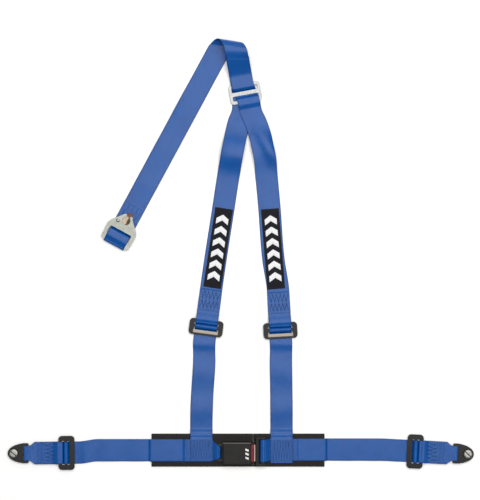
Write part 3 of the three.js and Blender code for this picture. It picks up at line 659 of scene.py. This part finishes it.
def threads(name, where, rows, height, material, pitch=3.2, thick=0.34):
    """Rows of stitches, each row a line of (along, across) on a surface of the given height."""
    top = height if callable(height) else (lambda along: height)
    verts, faces = [], []
    for row in rows:
        for (a0, b0), (a1, b1) in zip(row, row[1:]):
            length = math.hypot(a1 - a0, b1 - b0)
            count = max(1, round(length / pitch))
            for i in range(count):
                low, high = (i + 0.08) / count, (i + 0.92) / count
                first = where.at(mix(a0, a1, low), mix(b0, b1, low), top(mix(a0, a1, low)))
                last = where.at(mix(a0, a1, high), mix(b0, b1, high), top(mix(a0, a1, high)))
                way = last - first
                way /= np.linalg.norm(way)
                side = np.cross([0, 0, 1.0], way)
                side /= np.linalg.norm(side)
                up = np.cross(way, side)
                base = len(verts)
                verts.append(first - up * STITCH_DIP)
                for share, lift in STITCH_RINGS:
                    middle = mix(first, last, share) + up * lift
                    for k in range(6):
                        turn = math.pi * k / 3
                        verts.append(middle + thick * (side * math.cos(turn) + up * math.sin(turn)))
                verts.append(last - up * STITCH_DIP)
                for k in range(6):
                    n = (k + 1) % 6
                    faces.append((base, base + 1 + n, base + 1 + k))
                    for ring in (1, 7):
                        a, b = base + ring + k, base + ring + n
                        faces.append((a, b, b + 6, a + 6))
                    faces.append((base + 13 + k, base + 13 + n, base + 19))
    return mesh_piece(name, verts, faces, material)


def zigzag(a0, a1, b0, b1, peaks):
    """A W across the strap: the needle runs up and down along it while it crosses."""
    steps = 2 * peaks
    return [(a1 if i % 2 else a0, mix(b0, b1, i / steps)) for i in range(steps + 1)]


def box_row(a0, a1, b0, b1):
    return [(a0, b0), (a1, b0), (a1, b1), (a0, b1), (a0, b0)]


def cross_row(along, half=23.0):
    return [(along, -half), (along, half)]


def face_of(points):
    """Height of a strap's top face along a track that only runs forwards."""
    points = sorted(points)
    alongs, heights = [p[0] for p in points], [p[1] + WEB_THICK / 2 for p in points]
    return lambda along: float(np.interp(along, alongs, heights))


# ---------- soft slabs: pads, labels and their marks ----------

def rounded_outline(a0, a1, b0, b1, radii, inset):
    """Corners in turn from (a1, b1), counter-clockwise, each with its own radius."""
    steps = 6
    corners = [(a1, b1, 1, 1), (a0, b1, -1, 1), (a0, b0, -1, -1), (a1, b0, 1, -1)]
    found = []
    for i, ((a, b, sa, sb), radius) in enumerate(zip(corners, radii)):
        r = max(radius - inset, 0.05)
        ca, cb = a - sa * (inset + r), b - sb * (inset + r)
        for k in range(steps + 1):
            turn = math.pi / 2 * (i + k / steps)
            found.append((ca + r * math.cos(turn), cb + r * math.sin(turn)))
    return found


def slab(name, where, outline, rings, material):
    """A closed soft slab: rings of the outline from the underside to the top, as (inset, height)."""
    verts, uvs = [], []
    for inset, height in rings:
        for a, b in outline(inset):
            verts.append(where.at(a, b, height))
            uvs.append((a, b))
    return mesh_piece(name, verts, tube(len(rings), len(verts) // len(rings)), material, uvs)


def marks(name, where, shapes, z0, z1, material):
    """Flat raised marks, each a polygon of (along, across), with eased rims."""
    verts, uvs, faces = [], [], []
    for shape in shapes:
        ca = sum(a for a, _ in shape) / len(shape)
        cb = sum(b for _, b in shape) / len(shape)
        faces += tube(3, len(shape), len(verts))
        for share, height in ((1.0, z0), (1.0, mix(z0, z1, 0.6)), (0.96, z1)):
            for a, b in shape:
                verts.append(where.at(mix(ca, a, share), mix(cb, b, share), height))
                uvs.append((a, b))
    return mesh_piece(name, verts, faces, material, uvs)


# ---------- where everything lies, as in the CAD ----------

LAP_END = {"left": Lane(-389.8, -443.8, 180.4), "right": Lane(389.96, -440.6, -2.8)}
SHOULDER = {"left": Lane(-77.6, -163.5, 82.4), "right": Lane(88.6, -170, 93.2)}
SLIDER_LANE = Lane(9.9, 361.4, 100.5)
ANCHOR_LANE = Lane(-256, 74.7, 241.6)
LABEL_LANE = {"left": Lane(-50.7, 14.4, 81.4), "right": Lane(72.2, 12.5, 94.6)}
LAP_Y = {"left": -438.2, "right": -436.8}
PAD_Y = (-475, -401)
PAD_X = {"left": (-199.9, 27.4), "right": (27.9, 187.6)}
LEFT_NECK = 13  # half the left lap strap's width where it is gathered at the buckle
LOOP_NECK = 16.6  # the same for the end loops at the brackets
LAP_TAIL = 36
SHOULDER_TAIL = 58
ADJUSTER_TOP = 2 * LAYER + 3
CENTRE_BAR = (-1.5, 4)
FAR_BAR = 10.5
TAIL_START = CENTRE_BAR[1] + 4.5
BELOW_ADJUSTER = -26
SLIDER_TOP = 2 * LAYER + 2.5
SLIDER_BAR = 4.5
SLIDER_HALF = 22
BRACKET_BAR = (84.7, 92.2)
BUCKLE_SIDE = {"left": "root", "right": "tongue_side"}


# ---------- straps at a three-bar adjuster ----------

def tail_track(end):
    return Track(end, level(0)).run(TAIL_START)


def over_bar_track():
    """Up from the tail, over the centre bar on a rounded crest, and down under the near bar."""
    low, high = CENTRE_BAR[0] + 0.1, CENTRE_BAR[1] - 0.1
    rising = Track(TAIL_START, level(0)).ramp(high, above(ADJUSTER_TOP))
    return rising.crest(low, 1.1).ramp(-6.3, level(0)).run(BELOW_ADJUSTER)


def round_far_bar(track):
    """On round the far bar; the top layer leans back from the slot and crests past the bar."""
    top = above(ADJUSTER_TOP)
    return track.run(FAR_BAR).wrap(-1, top).ramp(FAR_BAR + 7.5, top + 1.5)


# ---------- lap belt ends and lap straps ----------

def lap_straps(side):
    """From the tail under the adjuster to the pad, round the buckle's or tongue's bar, and back on itself."""
    end, body = LAP_END[side], BUCKLE_SIDE[side]
    left = side == "left"
    way = -1 if left else 1
    pad = Lane(0, LAP_Y[side], 180 if left else 0)
    pad_edge = -PAD_X["left"][0] if left else PAD_X["right"][1]
    inner, outer = (48, 54) if left else (46.5, 53.5)  # the bar that the strap goes round
    face, back = (9.5, 7.0) if left else (12.3, 9.8)
    shoulder, cut_end = (62.7 if left else 66.5), 124

    def taper(along):
        return clamp((65 - along) / 17)

    track = (
        Track(pad_edge + 120, level(0))
        .run(pad_edge + 7)
        .ramp(pad_edge + 0.8, on_pad(0))
        .run(cut_end + 7)
        .ramp(cut_end - 1, on_pad(1))
        .run(shoulder)
        .ramp(outer + 0.5, above(face))
        .crest(inner, 1.4)
        .wrap(-1, below(back))
        .run(outer + 0.5)
        .ramp(shoulder + 1.5, on_pad(0))
        .run(cut_end)
    )
    drift, neck = (3.8, LEFT_NECK) if left else (-2, WEB_HALF)
    at_buckle = stations(
        pad, track, lambda along: mix(WEB_HALF, neck, taper(along)), lambda along: drift * taper(along)
    )
    ripples = ((235, 16, 1.6), (300, 20, 2.0), (346, 10, 1.6))  # distance from the middle, length, height
    tail, run = strap(
        f"{side}_lap_strap",
        [
            (f"{side}_lap_strap_tail", stations(end, tail_track(LAP_TAIL))),
            (f"{side}_lap_strap_run", stations(end, over_bar_track()) + at_buckle),
        ],
        [(way * x, -438, 0, length, 60, height) for x, length, height in ripples],
    )
    end.metres(14, level(0))
    end.metres(LAP_TAIL, level(0))
    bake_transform(tail)
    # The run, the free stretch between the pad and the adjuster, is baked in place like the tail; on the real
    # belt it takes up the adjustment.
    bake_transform(run)
    top = face_of([p for p in track.points[: len(track.points) // 2] if p[0] > shoulder])
    rows = [cross_row(a) for a in (cut_end - 6, cut_end - 3)]
    sewn = threads(f"{side}_lap_stitches", pad, rows, top, THREAD)
    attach(sewn, body)


def end_loop(side):
    """The sewn loop between the lap adjuster's far bar and the bracket."""
    where = LAP_END[side]
    top = above(ADJUSTER_TOP)
    track = (
        round_far_bar(Track(60, level(1)))
        .ramp(32, level(3))
        .run(66)
        .ramp(83.7, top)
        .run(BRACKET_BAR[1] + 0.8)
        .wrap(1, level(1))
        .run(80.7)
        .ramp(66, level(2))
        .run(30)
    )

    def half(along):
        return mix(WEB_HALF, LOOP_NECK, clamp((along - 71) / 10.7))

    loop = strap(f"{side}_lap_end_loop", [(f"{side}_lap_end_loop_cloth", stations(where, track, half))])[0]
    where.metres(68, 3)
    where.metres(84, 3)
    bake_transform(loop)
    face = face_of([(a, h) for a, h in track.points if h > level(2) + 0.5])
    rows = [zigzag(25 + a, 45 + a, -21, 21, 5) for a in (0, 1.5, 3)]
    rows += [cross_row(a, 22.5) for a in (22.5, 48.5, 53, 56, 59, 62, 65)]
    sewn = threads(f"{side}_end_loop_stitches", where, rows, face, THREAD)
    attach(sewn, f"{side}_end")


for side in ("left", "right"):
    lap_straps(side)
    end_loop(side)


# ---------- buckle pads ----------

PAD_RINGS = [
    (1.0, 0.15), (0.3, 0.9), (0.0, 1.75), (0.3, 2.75), (0.9, 3.25), (1.9, 3.5),
    (2.9, 3.42), (3.5, 3.12), (4.1, 3.42), (5.2, 3.5), (8.0, 3.5),
]


def buckle_pad(side):
    x0, x1 = PAD_X[side]
    radii = (0.5, 1.5, 1.5, 0.5) if side == "left" else (1.5, 0.5, 0.5, 1.5)

    def outline(inset):
        return rounded_outline(x0, x1, PAD_Y[0], PAD_Y[1], radii, inset)

    cloth = slab(f"buckle_pad_{side}_cloth", TABLE, outline, PAD_RINGS, PAD_CLOTH)
    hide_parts(f"buckle_pad_{side}")
    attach(cloth, BUCKLE_SIDE[side])
    row = outline(3.5)
    sewn = threads(f"buckle_pad_{side}_stitches", TABLE, [row + row[:1]], 3.28, PAD_THREAD, pitch=3.4)
    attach(sewn, BUCKLE_SIDE[side])


buckle_pad("left")
buckle_pad("right")


# ---------- shoulder straps, lower half ----------

def lower_shoulder(side, x, foot, high, low):
    """From the tail behind the adjuster, through waypoints high and low, to the foot on the lap belt."""
    pad_edge = PAD_Y[1]
    lap_edge = LAP_Y["right"] + WEB_HALF
    down = Lane(x, 0, 90)
    track = (
        Track(pad_edge + 20, level(0))
        .run(pad_edge + 12)
        .ramp(pad_edge + 1.5, on_pad(0))
        .run(pad_edge - 1.5)
        .ramp(lap_edge + 1, on_pad(2))
        .run(foot)
    )
    name = f"{side}_lower_shoulder_strap"
    where = SHOULDER[side]
    top_part = stations(where, tail_track(SHOULDER_TAIL)) + stations(where, over_bar_track())
    top_part.append(waypoint(*high))
    foot_part = [waypoint(*low)] + stations(down, track)
    waves = [(x + 4, -199, 88, 9, 60, 3), (x, -262, 80, 20, 40, 2.4), (x, -345, 96, 18, 40, 2.2)]
    if side == "left":
        cloth = strap(name, [(name + "_cloth", top_part + foot_part)], waves)[0]
        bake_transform(cloth)
    else:
        foot_part.insert(0, waypoint(90.5, -285, 90.2))
        top, bottom = strap(name, [(name + "_top", top_part), (name + "_foot", foot_part)], waves)
        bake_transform(top)
        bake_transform(bottom)
    face = on_pad(2) + WEB_THICK / 2
    near, far = foot + 2.5, lap_edge - (3 if side == "left" else 4)
    rows = [box_row(near, far, -21.5, 21.5), box_row(near + 2, far - 2, -19.5, 19.5)]
    rows += [zigzag(near + 4, far - 4, -18, 18, 6), zigzag(near + 5.5, far - 2.5, -18, 18, 6)]
    rows += [box_row(near + 4.5, far - 4.5, -17, 17)]
    sewn = threads(f"{side}_shoulder_foot_stitches", down, rows, face, THREAD)
    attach(sewn, BUCKLE_SIDE[side])


lower_shoulder("left", -88.2, -461, (-81.7, -240, 85), (-86.6, -320, 88))
lower_shoulder("right", 91.3, -466, (89.9, -240, 90.5), (91, -320, 90))


# ---------- upper straps, slider, roll and rear strap ----------

ROLL_RADIUS = 17
ROLL_REACH = 450.2  # how far out the roll's axis lies
ROLL_STEPS = 24
SLANT_LENGTH = 42  # over which a strap's sections turn from square to the roll's axis
LEFT_START = -26  # where the left strap enters the slider's lane
roll_axis = Lane(0, 0, (SLIDER_LANE.heading + ANCHOR_LANE.heading) / 2)
roll_out = -roll_axis.left
roll_slant = -math.tan(math.radians((ANCHOR_LANE.heading - SLIDER_LANE.heading) / 2 - 90))
roll_top = level(0) + 2 * ROLL_RADIUS


def reach_of(where):
    return (ROLL_REACH - where.origin @ roll_out) / (where.ahead @ roll_out)


roll_in = reach_of(SLIDER_LANE)
roll_back = reach_of(ANCHOR_LANE)


def slant_at(along, start):
    return roll_slant * clamp(1 - abs(along - start) / SLANT_LENGTH)


def left_shift(along):
    """How far left of the slider's middle the left strap lies: more below it, where it comes in."""
    return mix(9.5, 3.5, clamp((along - LEFT_START) / 24))


def right_shift(along):
    """The same for the right strap, which comes in from the right."""
    return mix(-4.5, 2.6, clamp((along + 20) / 40))


def into_roll(shift):
    return {"shift": shift, "skew": lambda along: slant_at(along, roll_in)}


def roll_stations(start, end, low, high):
    half = WEB_HALF / (SLIDER_LANE.left @ roll_axis.ahead)
    found = []
    for i in range(low, high):
        turn = math.pi * i / ROLL_STEPS
        middle = mix(start, end, i / ROLL_STEPS) + roll_out * ROLL_RADIUS * math.sin(turn)
        middle[2] = mix(roll_top, level(0), (1 - math.cos(turn)) / 2)
        found.append((middle, roll_axis.ahead * half))
    return found


# The left strap goes under the lower and centre bars, over the upper bar and up to the roll.
left_slider_track = (
    Track(LEFT_START, level(0))
    .run(0)
    .run(SLIDER_BAR + 1.5)
    .ramp(SLIDER_BAR + 8.8, above(SLIDER_TOP))
    .run(SLIDER_HALF + 12)
    .ramp(roll_in, roll_top, 24)
)
# The right strap goes over the lower bar and under the centre bar, then lies on the left one.
right_slider_track = (
    Track(-38, level(1))
    .ramp(-SLIDER_HALF - 1, above(SLIDER_TOP))
    .run(-SLIDER_BAR - 8.8)
    .ramp(-SLIDER_BAR - 1.5, level(1))
)
right_slider_track.points += left_slider_track.beside(LAYER).between(0, roll_in - 16).points
ANCHOR_TOP = 7.7
REAR_CUT_END = -42
# From the roll to the anchor plate, round its bar, and back over itself to the sewn end.
rear_track = Track(roll_back, level(0))
for share in (1 / 3, 2 / 3, 1):
    rear_track.run(roll_back + SLANT_LENGTH * share)
rear_track.run(-60).run(57).wrap(1, above(ANCHOR_TOP))
rear_track.ramp(44, above(ANCHOR_TOP) + 4.6).run(31).ramp(25.5, level(1)).run(REAR_CUT_END)


def upper_foot(where):
    """The upper strap's sewn loop round the adjuster's far bar, up to where the strap runs free."""
    track = round_far_bar(Track(82, level(0)).run(68).ramp(60, level(1)))
    track.ramp(38, level(2)).run(60).ramp(68, level(1)).run(83).ramp(88, level(0))
    return track, stations(where, track)


def foot_stitches(side, track):
    """Two W rows in a box over the doubled strap above the adjuster."""
    bend = next(i for i, p in enumerate(track.points) if p[1] > ADJUSTER_TOP)
    face = face_of([p for p in track.points[bend:] if p[0] > FAR_BAR + 1.5])
    rows = [cross_row(a, 22.5) for a in (38, 40, 83.5, 85.5)]
    rows += [zigzag(43 + a, 60 + a, -21, 21, 5) for a in (0, 1.2, 2.4)]
    rows += [zigzag(80 + a, 63 + a, -21, 21, 5) for a in (0, 1.2, 2.4)]
    sewn = threads(f"{side}_shoulder_stitches", SHOULDER[side], rows, face, THREAD)
    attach(sewn, "upper")


def near_slider(before, after):
    """Bakes the transforms of a strap's last stretch before the slider and its first after it."""
    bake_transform(before)
    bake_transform(after)


def into_anchor(piece):
    """Bakes the transform of a piece at the rear strap's loop by the anchor plate."""
    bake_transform(piece)


NECK_WAVE = (-16, 229, 80, 27, 45, 15)  # both straps arch up together before they cross
left_track, left_foot = upper_foot(SHOULDER["left"])
up_to_roll = stations(SLIDER_LANE, left_slider_track, **into_roll(left_shift))
down_from_roll = stations(ANCHOR_LANE, rear_track, skew=lambda along: -slant_at(along, roll_back))
roll_from, roll_to = up_to_roll[-1][0], down_from_roll[0][0]
under_bar = next(i for i, p in enumerate(left_slider_track.points) if abs(p[0]) < 1e-6)
left_free = [
    waypoint(-56.8, -12.3, 81.4), waypoint(-42.2, 81.8, 81.2), waypoint(-27.7, 175.8, 80.6),
    waypoint(-13.1, 256.5, 78.8), waypoint(-4.1, 296, 78), waypoint(5.5, 326, 84),
]
left_low, left_high, rear = strap(
    "left_and_rear_strap",
    [
        ("left_upper_strap_low", left_foot + left_free + up_to_roll[:under_bar]),
        ("left_upper_strap_high", up_to_roll[under_bar:] + roll_stations(roll_from, roll_to, 1, 22)),
        ("rear_strap", roll_stations(roll_from, roll_to, 22, ROLL_STEPS) + flipped(down_from_roll)),
    ],
    [NECK_WAVE, (-120, 330, 55, 30, 30, 5), (-170, 235, 66, 40, 40, 3), (-215, 160, 60, 18, 40, 2)],
)
near_slider(left_low, left_high)
into_anchor(rear)
foot_stitches("left", left_track)

right_track, right_foot = upper_foot(SHOULDER["right"])
outer_stations = stations(SLIDER_LANE, right_slider_track, **into_roll(right_shift))
over_bar = next(i for i, p in enumerate(right_slider_track.points) if p[0] >= 0)
right_free = [
    waypoint(73.4, -12.3, 94.7), waypoint(63.9, 108.6, 94.8), waypoint(57.7, 175.8, 95.5),
    waypoint(54, 216.2, 98), waypoint(48.4, 243, 101), waypoint(44.4, 262, 102, level(1)),
    waypoint(33, 296.8, 103, level(1)),
]
right_low, right_high = strap(
    "right_upper_shoulder_strap",
    [
        ("right_upper_strap_low", right_foot + right_free + outer_stations[:over_bar]),
        ("right_upper_strap_high", outer_stations[over_bar:]),
    ],
    [NECK_WAVE, (63, 240, -60, 34, 13, 11)],
)
near_slider(right_low, right_high)
foot_stitches("right", right_track)

# The right strap's cut end is sewn down on the left strap, just short of the roll.
JOIN = 76
join_turn = math.degrees(math.atan(slant_at(JOIN, roll_in)))
join_lane = Lane(*SLIDER_LANE.at(JOIN, right_shift(JOIN))[:2], SLIDER_LANE.heading - join_turn)
join_face = face_of([p for p in right_slider_track.points if p[0] > 20])
join_rows = [cross_row(a, 23.5) for a in (-2.2, 0)]
joined = threads("strap_join_stitches", join_lane, join_rows, lambda a: join_face(JOIN + a), JOIN_THREAD)
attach(joined, "upper")

rear_face = face_of([p for p in rear_track.points[-60:] if p[0] < 27])
rear_rows = [zigzag(-34, -10, -21, 21, 4), zigzag(-32, -8, -21, 21, 4)]
rear_rows += [cross_row(a, 22.5) for a in (REAR_CUT_END + 4, REAR_CUT_END + 6, -5, -3)]
rear_sewn = threads("rear_loop_stitches", ANCHOR_LANE, rear_rows, rear_face, MATCHED_THREAD, thick=0.28)
into_anchor(rear_sewn)


# ---------- labels ----------

def label(side):
    """A taffeta patch sewn on all round, with a row of embroidered chevrons."""
    where = LABEL_LANE[side]
    z0 = WEB_THICK + GAP
    rings = [(0.15, z0), (0.0, z0 + 0.3), (0.12, z0 + 0.58), (0.4, z0 + 0.7), (3, z0 + 0.72)]
    length, width = 180, 40

    def outline(inset):
        return rounded_outline(-length / 2, length / 2, -width / 2, width / 2, (1, 1, 1, 1), inset)

    patch = slab(f"{side}_label_patch", where, outline, rings, LABEL_CLOTH)
    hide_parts(f"{side}_label")
    row = outline(1.6)
    sewn = threads(f"{side}_label_stitches", where, [row + row[:1]], z0 + 0.62, LABEL_THREAD, 2.6, 0.26)
    shapes = []
    limb, point, half, pitch = 13, 9, 13.5, 25.5  # of a chevron
    for i in range(6):
        a = -74 + pitch * i
        shapes.append([(a, -half), (a + limb, -half), (a + limb + point, 0), (a + point, 0)])
        shapes.append([(a + point, 0), (a + limb + point, 0), (a + limb, half), (a, half)])
    emblem = marks(f"{side}_label_chevrons", where, shapes, z0 + 0.6, z0 + 1.05, EMBROIDERY)
    for piece in (patch, sewn, emblem):
        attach(piece, "upper")


label("left")
label("right")


# ---------- hardware: the CAD's own nodes, with eased edges and node materials ----------

def dress(name, material, ease=0.0, segments=3):
    node = nodes[name]
    node.data.materials.clear()
    node.data.materials.append(material)
    if not ease:
        return
    weld = node.modifiers.new("weld", "WELD")
    weld.merge_threshold = 1e-6
    flat = node.modifiers.new("flat", "DECIMATE")
    flat.decimate_type = "DISSOLVE"
    flat.angle_limit = math.radians(0.5)
    bevel = node.modifiers.new("ease", "BEVEL")
    bevel.limit_method = "ANGLE"
    bevel.angle_limit = math.radians(42)
    bevel.width = ease * MM
    bevel.segments = segments
    bevel.use_clamp_overlap = True
    normals = node.modifiers.new("normals", "WEIGHTED_NORMAL")
    normals.keep_sharp = False


for side in ("left", "right"):
    # The shoulder adjusters' near bars get a pale metallic band: a painted reflection.
    near_bar = (SHOULDER[side], -0.0138, -0.0066)
    dress(f"{side}_lap_adjuster", BLACK_STEEL, 1.1, 4)
    dress(f"{side}_shoulder_adjuster", painted_steel_look(f"{side}_burnished_steel", near_bar), 1.1, 4)
    dress(f"{side}_lap_bracket", BLACK_STEEL, 0.8)
    dress(f"{side}_lap_bolt", BOLT_ZINC, 0.3)
    dress(f"{side}_lap_washer", FIBRE)
dress("rear_slider", BRIGHT, 0.9, 4)
dress("anchor_plate", ZINC, 0.6)
dress("anchor_gate", gate_look(ANCHOR_LANE), 0.3)
dress("gate_rivet", SPRING)
BUCKLE_Y = -442.5
buckle_lane, mouth_lane = Lane(0, BUCKLE_Y, 0), Lane(0, BUCKLE_Y, -90)
# The top cover's upper rim gets a thin painted highlight line.
cover_look = moulded_look(
    "black_moulding_painted_highlight", linear(21, 20, 20), linear(33, 32, 31),
    rim=(buckle_lane, 0.0224, linear(104, 102, 98)),
)
# The button's far edge gets a cream painted highlight, standing in for light on its bevel.
button_look = moulded_look(
    "red_moulding", linear(92, 16, 26), linear(128, 26, 38), rough=(0.3, 0.42),
    rim=(mouth_lane, 0.0313, linear(226, 206, 196)),
)
dress("buckle_top_cover", cover_look, 0.7)
dress("buckle_bottom_cover", BLACK_PLASTIC, 0.5)
dress("tongue_cover", BLACK_PLASTIC, 0.5)
dress("release_button", button_look, 0.6)
dress("ejector", BLACK_PLASTIC)
dress("buckle_frame", BLACK_STEEL, 0.3, 2)
dress("latch_plate", ZINC)
dress("tongue_plate", BLACK_STEEL, 0.4)
dress("latch_pin", SPRING)
dress("ejector_spring", SPRING)


def button_coil(node, start, axis, length, radius, turns):
    """A round-wire coil; on the real buckle it closes up against its seat as the button goes in."""
    wire, around, steps = 0.4, 8, 20 * turns
    axis, start = np.array(axis, float), np.array(start, float)
    side = np.array([0, 1.0, 0])
    third = np.cross(axis, side)
    verts = []
    for i in range(steps + 1):
        turn = 2 * math.pi * turns * i / steps
        out = side * math.cos(turn) + third * math.sin(turn)
        middle = start + axis * mix(wire, length - wire, i / steps) + out * (radius - wire)
        for k in range(around):
            bend = 2 * math.pi * k / around
            verts.append(middle + wire * (out * math.cos(bend) + axis * math.sin(bend)))
    coil = mesh_piece(f"{node}_coil", verts, tube(steps + 1, around), SPRING)
    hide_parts(node)
    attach(coil, "root")
    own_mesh(coil)


for which, y in (("upper", BUCKLE_Y + 16.4), ("lower", BUCKLE_Y - 16.4)):
    button_coil(f"button_spring_{which}", (-13.4, y, 16.5), (1, 0, 0), 21, 2.2, 6)
button_coil("latch_spring", (-12, BUCKLE_Y, 16), (0, 0, 1), 4, 3, 3)

# Three slanted bars printed beside the button.
cover_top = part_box("buckle_top_cover")[1].z / MM
print_lane = Lane(14, BUCKLE_Y - 1, 90)
bars = [[(a, -3.6), (a + 4.6, -3.6), (a + 7.2, 3.6), (a + 2.6, 3.6)] for a in (-13.5, -4.5, 4.5)]
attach(marks("buckle_print", print_lane, bars, cover_top - 0.02, cover_top + 0.06, PRINT), "root")


# ---------- floor and light ----------

REACH = 6000
corners = [(x * REACH, y * REACH, -0.2) for x, y in ((-1, -1), (1, -1), (1, 1), (-1, 1))]
pale = Look("pale_floor", Base_Color=linear(246, 246, 246), Roughness=0.95, Specular_IOR_Level=0.1)
mesh_piece("floor", corners, [(0, 1, 2, 3)], pale.material)
world = bpy.data.worlds.new("studio")
world.use_nodes = True
sky = world.node_tree.nodes["Background"]
sky.inputs["Color"].default_value = (0.95, 0.97, 1, 1)
sky.inputs["Strength"].default_value = 0.35
scene.world = world
scene.view_settings.view_transform = "Standard"
area_light("overhead", (0.6, 1.15, 4.2), (0.6, 1.15, 0), (4.4, 4.6), 226, (1, 0.985, 0.96))
area_light("rim", (0.4, 3.4, 1.7), (0, 0, 0), (3.0, 0.5), 14, (1, 0.98, 0.95))
